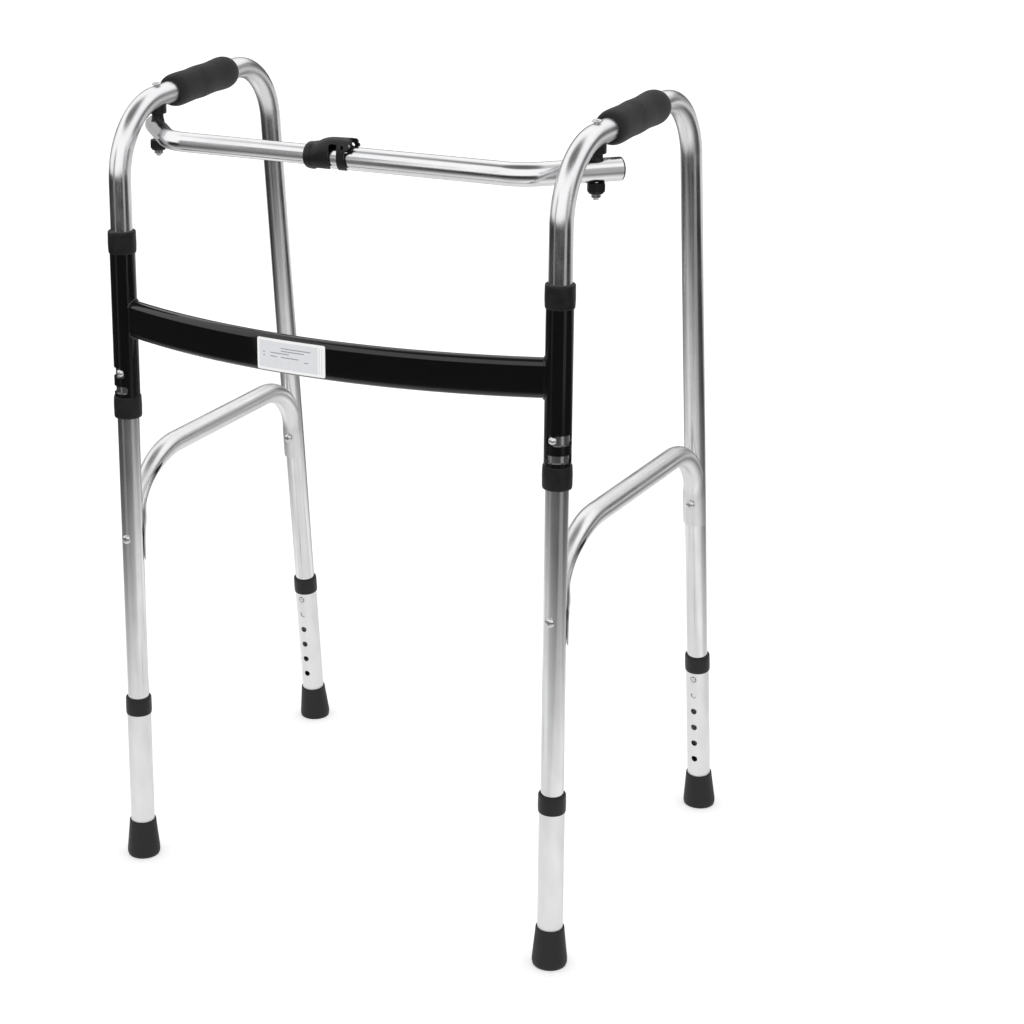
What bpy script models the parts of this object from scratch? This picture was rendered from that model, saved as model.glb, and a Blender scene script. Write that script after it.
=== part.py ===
"""Folding walking frame: two bent side frames that swing on the sleeves of a front
H-frame, joined by a telescopic crossbar, on four height-adjustable legs.

Row frame: metres, +Z up, +Y from the front of the frame to the user, floor at Z = 0,
origin at the bottom centre of the bounding box. A side frame's own axes have their
origin on its front leg at the floor, with Y running back along the handle.
"""
import math

import bmesh
import bpy
from mathutils import Matrix, Vector

# Layout
HALF_WIDTH = 0.2743          # front leg axis to the middle plane
FRONT_Y = -0.2009            # front leg axes, from the origin
SPLAY = math.radians(1.66)   # each side frame opens outwards towards the user
REAR_FOOT_Y = 0.4405         # rear leg axis at the floor, from the front leg axis
REAR_LEAN = 0.1113           # rear leg runs this far forwards for each metre up

# Side frame tube
TUBE_R = 0.0127
TUBE_WALL = 0.0013
HANDLE_Z = 0.9228            # handle axis produced to the front leg
HANDLE_SLOPE = 0.055
FRONT_BEND = 0.085
REAR_BEND = 0.083
LEG_END_Z = 0.150
BOLT_Y = 0.083               # crossbar bolt, behind the front leg axis

# Side brace
BRACE_Z = 0.503
BRACE_FRONT_BEND = 0.098
BRACE_REAR_BEND = 0.080
BRACE_END_R = 0.0149         # the ends are opened out to lie round the legs
BRACE_NECK = 0.80            # the front bend is pinched to this share of the tube
BRACE_WALL = 0.0013
BRACE_FRONT_END_Z = 0.384
BRACE_REAR_END_Z = 0.398
FRONT_SCREW_Z = 0.4137
REAR_SCREW_Z = 0.4255

# Front H-frame
SLEEVE_R = 0.0148
SLEEVE_BORE = 0.0132
SLEEVE_LOW = 0.5672
SLEEVE_HIGH = 0.7808
BOW_Z = 0.6820
BOW_HEIGHT = 0.0436
BOW_DEPTH = 0.0170
BOW_EDGE = 0.0070
BOW_WALL = 0.0016
BOW_SAG = 0.0485             # how far the middle of the bow stands in front
BOW_HALF_CHORD = 0.2620
FOLD_SLOT_Z = 0.6182
FOLD_SLOT_HALF = 0.0057
STEP_SLOT_Z = 0.5975
STEP_SLOT_HALF = 0.0044

# Telescopic crossbar
BAR_Z = 0.8898
BAR_Y = 0.0220               # straight middle run, behind the front leg axes
BAR_OUTER_R = 0.0127
BAR_INNER_R = 0.0111
BAR_WALL = 0.0012
BAR_BEND = 0.050
BAR_BEND_X = 0.2200
BAR_TAIL = 0.027             # tube left beyond the bolt
BAR_OUTER_END = -0.030
BAR_INNER_END = 0.089
BAR_BUTTON_X = 0.0105
LEVER_HINGE = (-0.0284, 0.0, -0.0125)    # from the middle of the straight run

# Leg extensions
EXT_R = 0.0143
EXT_BORE = 0.0131
EXT_LOW = 0.0125
EXT_COLLAR_TOP = {"front": 0.2086, "rear": 0.2167}
EXT_COLLAR_HEIGHT = 0.0215
EXT_COLLAR_LIP = 0.0047      # collar above the end of the tube
HOLE_DROP = 0.0301           # top hole, below the top of the collar
HOLE_PITCH = 0.0230
HOLE_COUNT = 6
HOLE_R = 0.0040

# Feet
FOOT_RIM_R = 0.0162
FOOT_BASE_R = 0.0200
FOOT_HEIGHT = 0.0460

BUTTON_PRESS = 0.0034        # travel of the fold and height buttons
LOCK_PRESS = 0.0044          # travel of the crossbar's button
GAP = 0.0003                 # clearance between touching pieces
SIDES = 16                   # facets round a tube
ALUMINIUM = (0.78, 0.79, 0.80, 1.0)
STEEL = (0.62, 0.63, 0.64, 1.0)
BLACK = (0.02, 0.02, 0.022, 1.0)


# ---------------------------------------------------------------- helpers

def clear_scene():
    for obj in list(bpy.data.objects):
        bpy.data.objects.remove(obj)


def new_collection(name):
    collection = bpy.data.collections.new(name)
    bpy.context.scene.collection.children.link(collection)
    return collection


def material(name, colour, roughness, metallic):
    mat = bpy.data.materials.new(name)
    mat.use_nodes = True
    shader = mat.node_tree.nodes["Principled BSDF"]
    shader.inputs["Base Color"].default_value = colour
    shader.inputs["Roughness"].default_value = roughness
    shader.inputs["Metallic"].default_value = metallic
    mat.diffuse_color = colour
    return mat


def add_object(name, mesh, mat=None, place=Matrix.Identity(4), parent=None):
    """A part when it has a material, otherwise a cutter."""
    obj = bpy.data.objects.new(name, mesh)
    if mat is None:
        CUTTERS.objects.link(obj)
        obj.hide_render = True
        obj.display_type = "WIRE"
    else:
        PARTS.objects.link(obj)
        mesh.materials.clear()
        mesh.materials.append(mat)
        mesh.shade_smooth()
        mesh.set_sharp_from_angle(angle=math.radians(35))
    obj.parent = parent
    obj.matrix_local = place
    return obj


def boolean(obj, cutter, operation="DIFFERENCE"):
    step = obj.modifiers.new(operation.lower(), "BOOLEAN")
    step.operation = operation
    step.solver = "EXACT"
    step.object = cutter
    return obj


def filleted(corners, radii, steps=6):
    """Points along straight runs joined by arcs, one radius for each inner corner."""
    points = [Vector(corners[0])]
    for before, corner, after, radius in zip(corners, corners[1:], corners[2:], radii):
        corner = Vector(corner)
        back = (Vector(before) - corner).normalized()
        ahead = (Vector(after) - corner).normalized()
        opening = back.angle(ahead)
        centre = corner + (back + ahead).normalized() * radius / math.sin(opening / 2)
        start = corner + back * radius / math.tan(opening / 2)
        first = (start - centre).normalized()
        for i in range(steps + 1):
            angle = (math.pi - opening) * i / steps
            ray = first * math.cos(angle) - back * math.sin(angle)
            points.append(centre + ray * radius)
    points.append(Vector(corners[-1]))
    return points


def swept(name, points, radius, scales=None, profile=None):
    """A capped solid along the points, round or with the given profile curve."""
    curve = bpy.data.curves.new(name, "CURVE")
    curve.dimensions = "3D"
    curve.use_fill_caps = True
    if profile is None:
        curve.bevel_depth = radius
        curve.bevel_resolution = SIDES // 2 - 2
    else:
        curve.bevel_mode = "OBJECT"
        curve.bevel_object = profile
    spline = curve.splines.new("POLY")
    spline.points.add(len(points) - 1)
    for i, point in enumerate(points):
        spline.points[i].co = (*point, 1.0)
        spline.points[i].radius = scales[i] if scales else 1.0
    return meshed(name, curve)


def outlined(name, outline, half_thickness):
    """A flat closed outline in the XY plane, thickened both ways along Z."""
    curve = bpy.data.curves.new(name, "CURVE")
    curve.dimensions = "2D"
    curve.fill_mode = "BOTH"
    curve.extrude = half_thickness
    spline = curve.splines.new("POLY")
    spline.points.add(len(outline) - 1)
    for i, (x, y) in enumerate(outline):
        spline.points[i].co = (x, y, 0.0, 1.0)
    spline.use_cyclic_u = True
    return meshed(name, curve)


def meshed(name, curve):
    """The curve's surface as one welded mesh, its faces pointing out."""
    holder = bpy.data.objects.new(name, curve)
    bpy.context.scene.collection.objects.link(holder)
    evaluated = holder.evaluated_get(bpy.context.evaluated_depsgraph_get())
    mesh = bpy.data.meshes.new_from_object(evaluated)
    bpy.data.objects.remove(holder)
    bm = bmesh.new()
    bm.from_mesh(mesh)
    bmesh.ops.remove_doubles(bm, verts=bm.verts, dist=0.00001)
    bmesh.ops.recalc_face_normals(bm, faces=bm.faces)
    bm.to_mesh(mesh)
    bm.free()
    return mesh


def cylinder(name, radius, low, high, sides=SIDES, top_radius=None):
    """An upright cylinder or cone between two heights."""
    mesh = bpy.data.meshes.new(name)
    bm = bmesh.new()
    top = radius if top_radius is None else top_radius
    bmesh.ops.create_cone(bm, cap_ends=True, segments=sides, radius1=radius,
                          radius2=top, depth=high - low)
    bmesh.ops.translate(bm, verts=bm.verts, vec=(0, 0, (low + high) / 2))
    bm.to_mesh(mesh)
    bm.free()
    return mesh


def box(name, low, high):
    mesh = bpy.data.meshes.new(name)
    bm = bmesh.new()
    bmesh.ops.create_cube(bm, size=1.0)
    low, high = Vector(low), Vector(high)
    bmesh.ops.scale(bm, verts=bm.verts, vec=high - low)
    bmesh.ops.translate(bm, verts=bm.verts, vec=(low + high) / 2)
    bm.to_mesh(mesh)
    bm.free()
    return mesh


def turned(name, profile, mat, place, parent, closed=True, sides=SIDES):
    """A shape turned about Z. The (radius, height) profile runs down its outer side."""
    mesh = bpy.data.meshes.new(name)
    bm = bmesh.new()
    verts = [bm.verts.new((r, 0, z)) for r, z in profile]
    for first, second in zip(verts, verts[1:]):
        bm.edges.new((first, second))
    if closed:
        bm.edges.new((verts[-1], verts[0]))
    bm.to_mesh(mesh)
    bm.free()
    obj = add_object(name, mesh, mat, place, parent)
    screw = obj.modifiers.new("turn", "SCREW")
    screw.axis = "Z"
    screw.angle = 2 * math.pi
    screw.steps = sides
    screw.render_steps = sides
    screw.use_merge_vertices = True
    screw.merge_threshold = 0.00001
    screw.use_smooth_shade = True
    return obj


def to_axis(direction, point=(0, 0, 0)):
    """Turns local Z to a direction and moves the origin to a point."""
    turn = Vector((0, 0, 1)).rotation_difference(Vector(direction))
    return Matrix.Translation(point) @ turn.to_matrix().to_4x4()


def axis_empty(name, place):
    """Parent for the pieces that turn about an axis."""
    obj = bpy.data.objects.new(name, None)
    PARTS.objects.link(obj)
    obj.matrix_local = place
    bpy.context.view_layer.update()
    return obj


def seen_from(axis, place):
    """A row-frame place in the axes of an unparented empty."""
    return axis.matrix_local.inverted() @ place


# ---------------------------------------------------------------- shared routes

def handle_corner():
    """Where the handle's axis meets the rear leg's, in a side frame's axes."""
    y = (REAR_FOOT_Y - REAR_LEAN * HANDLE_Z) / (1 + REAR_LEAN * HANDLE_SLOPE)
    return (0, y, HANDLE_Z + HANDLE_SLOPE * y)


def rear_leg(z):
    return (0, REAR_FOOT_Y - REAR_LEAN * z, z)


def side_route(extend=0.0):
    corners = [(0, 0, LEG_END_Z - extend), (0, 0, HANDLE_Z), handle_corner(),
               rear_leg(LEG_END_Z - extend)]
    return filleted(corners, [FRONT_BEND, REAR_BEND])


def handle_place(y):
    """On the handle's axis, with local Z running back along it."""
    return to_axis((0, 1, HANDLE_SLOPE), (0, y, HANDLE_Z + HANDLE_SLOPE * y))


def leg_places():
    """Each leg's own axes: origin at the floor, local Z up along the leg."""
    return {"front": Matrix.Identity(4),
            "rear": to_axis((0, -REAR_LEAN, 1), (0, REAR_FOOT_Y, 0))}


def hole_height(leg, step=0):
    """Height along a leg of one of its adjustment holes, counted down from the top."""
    return EXT_COLLAR_TOP[leg] - HOLE_DROP - step * HOLE_PITCH


def bar_route(side, inner_end, extend=0.0):
    """From the free end in the middle, out to the tail beyond the bolt."""
    bolt = Vector((side * (HALF_WIDTH + BOLT_Y * math.sin(SPLAY)),
                   BOLT_Y * math.cos(SPLAY), 0))
    bend = Vector((side * BAR_BEND_X, BAR_Y, 0))
    out = (bolt - bend).normalized()
    start = Vector((inner_end - side * extend, BAR_Y, 0))
    return filleted([start, bend, bolt + out * (BAR_TAIL + extend)], [BAR_BEND])


# ---------------------------------------------------------------- H-frame

def bow_radius():
    return (BOW_HALF_CHORD ** 2 + BOW_SAG ** 2) / (2 * BOW_SAG)


def bow_arc(half_chord, steps=22):
    """The bow's centre line, bulging towards -Y."""
    radius = bow_radius()
    reach = math.asin(half_chord / radius)
    points = []
    for i in range(steps + 1):
        angle = reach * (2 * i / steps - 1)
        y = radius - BOW_SAG - radius * math.cos(angle)
        points.append(Vector((radius * math.sin(angle), y, 0)))
    return points


def oval_profile(name, height, depth, edge):
    """Rounded flat-sided section of the bow, as a bevel profile."""
    curve = bpy.data.curves.new(name, "CURVE")
    curve.dimensions = "2D"
    spline = curve.splines.new("POLY")
    outline = []
    for cx, cy, start in ((1, 1, 0), (-1, 1, 90), (-1, -1, 180), (1, -1, 270)):
        for i in range(4):
            angle = math.radians(start + 30 * i)
            x = cx * (depth / 2 - edge) + edge * math.cos(angle)
            y = cy * (height / 2 - edge) + edge * math.sin(angle)
            outline.append((x, y))
    spline.points.add(len(outline) - 1)
    for i, (x, y) in enumerate(outline):
        spline.points[i].co = (x, y, 0, 1)
    spline.use_cyclic_u = True
    obj = bpy.data.objects.new(name, curve)
    CUTTERS.objects.link(obj)
    obj.hide_render = True
    obj.display_type = "WIRE"
    return obj


def sector(start_deg, end_deg, inner, outer, side):
    """A ring sector's outline, its angles from the front (-Y) towards the outside."""
    count = 10
    outline = []
    for radius, order in ((outer, range(count + 1)), (inner, range(count, -1, -1))):
        for i in order:
            angle = math.radians(start_deg + (end_deg - start_deg) * i / count)
            outline.append((side * radius * math.sin(angle), -radius * math.cos(angle)))
    return outline


def cut_slot(frame, name, side, z, half_height, start_deg, end_deg):
    outline = sector(start_deg, end_deg, SLEEVE_BORE - 0.001, SLEEVE_R + 0.003, side)
    mesh = outlined(name, outline, half_height)
    place = Matrix.Translation((side * HALF_WIDTH, FRONT_Y, z))
    boolean(frame, add_object(name, mesh, place=place))


def build_h_frame():
    outer = oval_profile("bow_section", BOW_HEIGHT, BOW_DEPTH, BOW_EDGE)
    inner = oval_profile("bow_hollow_section", BOW_HEIGHT - 2 * BOW_WALL,
                         BOW_DEPTH - 2 * BOW_WALL, BOW_EDGE - BOW_WALL)
    middle = Matrix.Translation((0, FRONT_Y, BOW_Z))
    bow = swept("front_h_frame", bow_arc(HALF_WIDTH), 0, profile=outer)
    frame = add_object("front_h_frame", bow, BLACK_STEEL, middle)
    for side, label in SIDE_NAMES:
        sleeve = cylinder("sleeve_" + label, SLEEVE_R, SLEEVE_LOW, SLEEVE_HIGH)
        place = Matrix.Translation((side * HALF_WIDTH, FRONT_Y, 0))
        boolean(frame, add_object("sleeve_" + label, sleeve, place=place), "UNION")
    hollow = swept("bow_hollow", bow_arc(HALF_WIDTH - SLEEVE_R - 0.002), 0, profile=inner)
    boolean(frame, add_object("bow_hollow", hollow, place=middle))
    for side, label in SIDE_NAMES:
        place = Matrix.Translation((side * HALF_WIDTH, FRONT_Y, 0))
        bore = cylinder("bore_" + label, SLEEVE_BORE, SLEEVE_LOW - 0.01,
                        SLEEVE_HIGH + 0.01)
        boolean(frame, add_object("bore_" + label, bore, place=place))
        vent = cylinder("vent_" + label, 0.003, 0, 0.02, sides=8)
        vent_place = to_axis((0, 1, 0), (side * 0.23, FRONT_Y - 0.004, BOW_Z))
        boolean(frame, add_object("vent_" + label, vent, place=vent_place))
        cut_slot(frame, "fold_slot_" + label, side, FOLD_SLOT_Z, FOLD_SLOT_HALF, -28, 118)
        cut_slot(frame, "step_slot_" + label, side, STEP_SLOT_Z, STEP_SLOT_HALF, -38, 110)


def build_sleeve_collars():
    """Plastic bushes over the sleeve ends, running on the leg tubes."""
    for side, label in SIDE_NAMES:
        for end, z, turn in (("top", SLEEVE_HIGH, 1), ("bottom", SLEEVE_LOW, -1)):
            place = Matrix.Translation((side * HALF_WIDTH, FRONT_Y, z))
            if turn < 0:
                place = place @ Matrix.Rotation(math.pi, 4, "X")
            skirt = -0.0215
            profile = [(0.0134, 0.0045), (0.0150, 0.0045), (0.0162, 0.0030),
                       (0.0164, -0.0080), (0.0162, skirt + 0.0015), (0.0156, skirt),
                       (SLEEVE_R + GAP, skirt), (SLEEVE_R + GAP, GAP), (0.0131, GAP)]
            turned(f"sleeve_collar_{end}_{label}", profile, COLLAR_PLASTIC, place, None)


def build_label():
    """A blank plate curved to the front of the bow, left of its middle."""
    radius = bow_radius() + BOW_DEPTH / 2 + GAP
    low, high = -0.0595, 0.0255
    height, thickness = 0.036, 0.0008
    steps = 8
    outline = []
    for r, order in ((radius, range(steps + 1)), (radius + thickness, range(steps, -1, -1))):
        for i in order:
            angle = math.asin((low + (high - low) * i / steps) / bow_radius())
            outline.append((r * math.sin(angle), -r * math.cos(angle)))
    mesh = outlined("label_plate", outline, height / 2)
    y = FRONT_Y + bow_radius() - BOW_SAG
    add_object("label_plate", mesh, LABEL, Matrix.Translation((0, y, BOW_Z)))


# ---------------------------------------------------------------- side frames

def hole(obj, name, radius, place, low, high, parent):
    cutter = add_object(name, cylinder(name, radius, low, high, sides=12), place=place,
                        parent=parent)
    return boolean(obj, cutter)


def build_side_tube(label, parent):
    tube = add_object("side_tube_" + label, swept("side_tube", side_route(), TUBE_R),
                      BRIGHT_ALUMINIUM, parent=parent)
    core = swept("side_core", side_route(0.01), TUBE_R - TUBE_WALL)
    boolean(tube, add_object("side_core_" + label, core, parent=parent))
    hole(tube, "fold_hole_" + label, 0.0056, to_axis((0, -1, 0), (0, 0, FOLD_SLOT_Z)),
         0.005, 0.02, parent)
    legs = leg_places()
    for leg, facing in (("front", 1), ("rear", -1)):
        place = legs[leg] @ to_axis((0, facing, 0), (0, 0, hole_height(leg)))
        hole(tube, f"snap_hole_{leg}_{label}", HOLE_R, place, 0.005, 0.02, parent)
    for leg, point in screw_points():
        place = to_axis((0, 1, 0), point)
        hole(tube, f"screw_hole_{leg}_{label}", 0.0026, place, -0.03, 0.03, parent)
    bolt_top = HANDLE_Z + HANDLE_SLOPE * BOLT_Y
    place = Matrix.Translation((0, BOLT_Y, bolt_top))
    hole(tube, "bolt_hole_" + label, 0.0034, place, -0.02, 0.02, parent)


def screw_points():
    """Where the brace screws cross the leg axes."""
    return (("front", Vector((0, 0, FRONT_SCREW_Z))),
            ("rear", Vector(rear_leg(REAR_SCREW_Z))))


def brace_route(extend=0.0):
    rear_top = rear_leg(BRACE_Z)
    corners = [(0, 0, BRACE_FRONT_END_Z - extend), (0, 0, BRACE_Z), (0, rear_top[1], BRACE_Z),
               rear_leg(BRACE_REAR_END_Z - extend)]
    return filleted(corners, [BRACE_FRONT_BEND, BRACE_REAR_BEND], steps=7)


def brace_scales(points, radius, end_radius):
    """Full size along the level run, opened out down both ends. The front bend is
    pinched before it opens."""
    scales = []
    for point in points:
        drop = min(max((BRACE_Z - 0.045 - point.z) / 0.025, 0), 1)
        scale = 1 + (end_radius / radius - 1) * drop
        if point.y < BRACE_FRONT_BEND:
            pinch = min(max((BRACE_Z - 0.002 - point.z) / 0.025, 0), 1)
            scale -= (1 - BRACE_NECK) * pinch * (1 - drop)
        scales.append(scale)
    return scales


def notch_outline():
    """Lens-shaped slit through the sides of the brace's pinched front bend."""
    centre = Vector((BRACE_FRONT_BEND, BRACE_Z - BRACE_FRONT_BEND))
    count = 10
    near, far = [], []
    for i in range(count + 1):
        share = i / count
        angle = math.radians(178 - 60 * share)
        half = 0.0003 + 0.0042 * math.sqrt(math.sin(math.pi * share))
        ray = Vector((math.cos(angle), math.sin(angle)))
        near.append(centre + ray * (BRACE_FRONT_BEND - half))
        far.append(centre + ray * (BRACE_FRONT_BEND + half))
    return near + far[::-1]


def build_brace(label, parent):
    route = brace_route()
    scales = brace_scales(route, TUBE_R, BRACE_END_R)
    brace = add_object("side_brace_" + label, swept("side_brace", route, TUBE_R, scales),
                       SATIN_ALUMINIUM, parent=parent)
    inside = brace_route(0.01)
    scales = brace_scales(inside, TUBE_R - BRACE_WALL, BRACE_END_R - BRACE_WALL)
    core = swept("brace_core", inside, TUBE_R - BRACE_WALL, scales)
    boolean(brace, add_object("brace_core_" + label, core, parent=parent))
    legs = leg_places()
    top = 0.54
    for leg, low, face, far in (("front", BRACE_FRONT_END_Z, 0.005, -0.04),
                                ("rear", BRACE_REAR_END_Z, -0.005, 0.04)):
        room = cylinder("leg_room", TUBE_R + GAP, low - 0.02, top)
        boolean(brace, add_object(f"leg_room_{leg}_{label}", room, place=legs[leg],
                                  parent=parent))
        open_side = box("half_room", (-0.03, min(face, far), low - 0.02),
                        (0.03, max(face, far), top))
        boolean(brace, add_object(f"half_room_{leg}_{label}", open_side, place=legs[leg],
                                  parent=parent))
    notch = outlined("brace_notch", notch_outline(), 0.02)
    turn = Matrix(((0, 0, 1, 0), (1, 0, 0, 0), (0, 1, 0, 0), (0, 0, 0, 1)))
    boolean(brace, add_object("brace_notch_" + label, notch, place=turn, parent=parent))
    for leg, point in screw_points():
        place = to_axis((0, 1, 0), point)
        hole(brace, f"brace_hole_{leg}_{label}", 0.0026, place, -0.03, 0.03, parent)


def build_screws(label, parent):
    """Pan-head screws through leg and brace, with a lock nut on the far side."""
    head_seat = {"front": TUBE_R, "rear": BRACE_END_R + 0.0010}
    nut_seat = {"front": BRACE_END_R + 0.0012, "rear": TUBE_R + 0.0006}
    for leg, point in screw_points():
        place = to_axis((0, -1, 0), point)
        seat = head_seat[leg] + GAP
        tip = -(nut_seat[leg] + 0.0062)
        profile = [(0, seat + 0.0033), (0.0030, seat + 0.0030), (0.0049, seat + 0.0014),
                   (0.0054, seat), (0.0022, seat), (0.0022, tip), (0, tip)]
        turned(f"brace_screw_{leg}_{label}", profile, ZINC, place, parent, closed=False,
               sides=12)
        nut = cylinder("lock_nut", 0.0046, -nut_seat[leg] - 0.0050, -nut_seat[leg] - GAP,
                       sides=6)
        obj = add_object(f"brace_nut_{leg}_{label}", nut, ZINC, place, parent)
        hole(obj, f"nut_bore_{leg}_{label}", 0.0022 + GAP, place, tip - 0.002, 0, parent)


def build_grip(label, parent):
    start, end = 0.112, 0.241
    length = (end - start) / math.cos(math.atan(HANDLE_SLOPE))
    shape = [(0.0, 0.0155), (0.004, 0.0180), (0.012, 0.0194), (0.028, 0.0192),
             (0.044, 0.0188), (0.062, 0.0194), (0.088, 0.0187), (0.113, 0.0198),
             (0.123, 0.0190), (length, 0.0165)]
    outer = [(radius, z) for z, radius in reversed(shape)]
    profile = outer + [(TUBE_R + GAP, 0.0), (TUBE_R + GAP, length)]
    turned("grip_" + label, profile, FOAM, handle_place(start), parent)


def snap_clip(name, reach, radius, place, parent, near, press):
    """V-shaped leaf spring with its button, whose top stands at reach from the tube's
    axis. The button points along local Z and the spring's bend lies up the tube. Its
    front blade stands near from the axis, the back one leaves room for the press."""
    blade = 0.0010
    far = near - press
    tail = 0.008
    apex = 0.036
    outline = [(-tail, near), (tail, near), (apex, 0.0006), (apex, -0.0006),
               (tail, -far), (-tail, -far), (-tail, -far + blade),
               (tail - 0.001, -far + blade), (apex - 0.004, 0),
               (tail - 0.001, near - blade), (-tail, near - blade)]
    mesh = outlined(name, outline, 0.0042)
    turn = Matrix(((0, 0, 1, 0), (1, 0, 0, 0), (0, 1, 0, 0), (0, 0, 0, 1)))
    clip = add_object(name, mesh, ZINC, place @ turn, parent)
    body = cylinder(name + "_body", radius, near - blade / 2, reach - 0.0015, sides=12)
    dome = cylinder(name + "_dome", radius, reach - 0.0015, reach, 12, radius * 0.6)
    joined = bmesh.new()
    joined.from_mesh(body)
    joined.from_mesh(dome)
    bmesh.ops.remove_doubles(joined, verts=joined.verts, dist=0.00001)
    seam = [f for f in joined.faces
            if abs(f.normal.z) > 0.9 and abs(f.calc_center_median().z - reach + 0.0015) < 1e-5]
    bmesh.ops.delete(joined, geom=seam, context="FACES_ONLY")
    joined.to_mesh(body)
    joined.free()
    boolean(clip, add_object(name + "_button", body, place=place, parent=parent), "UNION")


def button_place(direction, point):
    """Button along a direction, with the spring's bend up the tube (world up)."""
    out = Vector(direction).normalized()
    up = Vector((0, 0, 1))
    across = up.cross(out).normalized()
    up = out.cross(across)
    turn = Matrix((across, up, out)).transposed().to_4x4()
    return Matrix.Translation(point) @ turn


def build_side_clips(label, parent):
    near = TUBE_R - TUBE_WALL - 0.0016
    snap_clip("fold_clip_" + label, SLEEVE_R + 0.0016, 0.0050,
              button_place((0, -1, 0), (0, 0, FOLD_SLOT_Z)), parent, near, BUTTON_PRESS)
    legs = leg_places()
    for leg, facing in (("front", 1), ("rear", -1)):
        place = legs[leg] @ button_place((0, facing, 0), (0, 0, hole_height(leg)))
        snap_clip(f"snap_clip_{leg}_{label}", EXT_R + 0.0018, 0.0034, place, parent, near,
                  BUTTON_PRESS)


# ---------------------------------------------------------------- leg extensions

def build_extension(leg, label, place, parent):
    base = 0.004 if leg == "rear" else 0.0
    name = f"{leg}_{label}"
    top = EXT_COLLAR_TOP[leg]
    end = top - EXT_COLLAR_LIP
    tube = add_object("extension_" + name, cylinder("extension", EXT_R, EXT_LOW, end),
                      FROSTED_ALUMINIUM, place, parent)
    bore = cylinder("extension_bore", EXT_BORE, EXT_LOW - 0.01, end + 0.01)
    boolean(tube, add_object("extension_bore_" + name, bore, place=place, parent=parent))
    facing = 1 if leg == "front" else -1
    for i in range(HOLE_COUNT):
        spot = place @ to_axis((0, facing, 0), (0, 0, hole_height(leg, i)))
        hole(tube, f"height_hole_{i}_{name}", HOLE_R, spot, 0.005, 0.02, parent)

    low = top - EXT_COLLAR_HEIGHT
    profile = [(0.0131, top), (0.0148, top), (0.0155, top - 0.0012), (0.0156, low + 0.0012),
               (0.0152, low), (EXT_R + GAP, low), (EXT_R + GAP, end + GAP),
               (0.0131, end + GAP)]
    turned("extension_collar_" + name, profile, COLLAR_PLASTIC, place, parent)

    socket = EXT_LOW - GAP
    bottom = 0.0 - base
    profile = [(EXT_R + GAP, FOOT_HEIGHT), (FOOT_RIM_R, FOOT_HEIGHT),
               (FOOT_RIM_R + 0.0002, FOOT_HEIGHT - 0.003), (0.0194, 0.012),
               (FOOT_BASE_R, 0.008), (FOOT_BASE_R, 0.0025), (FOOT_BASE_R - 0.001, 0.0),
               (FOOT_BASE_R - 0.001, bottom), (0, bottom), (0, socket), (EXT_R + GAP, socket)]
    if base == 0.0:
        profile.remove((FOOT_BASE_R - 0.001, bottom))
    foot = turned("foot_" + name, profile, RUBBER, place, parent)
    if leg == "rear":
        ground = box("ground", (-0.05, REAR_FOOT_Y - 0.05, -0.02),
                     (0.05, REAR_FOOT_Y + 0.05, 0.0))
        boolean(foot, add_object("ground_" + name, ground, parent=parent))


# ---------------------------------------------------------------- crossbar

def build_bar(side, label, bar_axis):
    """Outer tube on the right, inner tube on the left."""
    outer = side > 0
    radius = BAR_OUTER_R if outer else BAR_INNER_R
    inner_end = BAR_OUTER_END if outer else BAR_INNER_END
    place = Matrix.Translation((0, FRONT_Y, BAR_Z))
    route = bar_route(side, inner_end)
    tube = add_object("cross_tube_" + label, swept("cross_tube", route, radius),
                      BRIGHT_ALUMINIUM, seen_from(bar_axis, place), bar_axis)
    core = swept("cross_core", bar_route(side, inner_end, 0.01), radius - BAR_WALL)
    boolean(tube, add_object("cross_core_" + label, core, place=place))
    bolt = bolt_point(side)
    hole(tube, "bar_bolt_hole_" + label, 0.0034, Matrix.Translation(bolt), -0.02, 0.02, None)
    button = Matrix.Translation((BAR_BUTTON_X, FRONT_Y + BAR_Y, BAR_Z))
    hole(tube, "bar_snap_hole_" + label, 0.0039, button, 0.004, 0.02, None)

    tail = route[-1] - route[-2]
    end = place @ route[-1]
    spigot = radius - BAR_WALL - GAP
    profile = [(0, 0.0016), (radius - 0.0006, 0.0016), (radius, 0.0010), (radius, GAP),
               (spigot, GAP), (spigot, -0.010), (0, -0.010)]
    turned("bar_plug_" + label, profile, COLLAR_PLASTIC,
           seen_from(bar_axis, to_axis(tail, end)), bar_axis, closed=False)


def bolt_point(side):
    return Vector((side * (HALF_WIDTH + BOLT_Y * math.sin(SPLAY)),
                   FRONT_Y + BOLT_Y * math.cos(SPLAY), BAR_Z))


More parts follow.
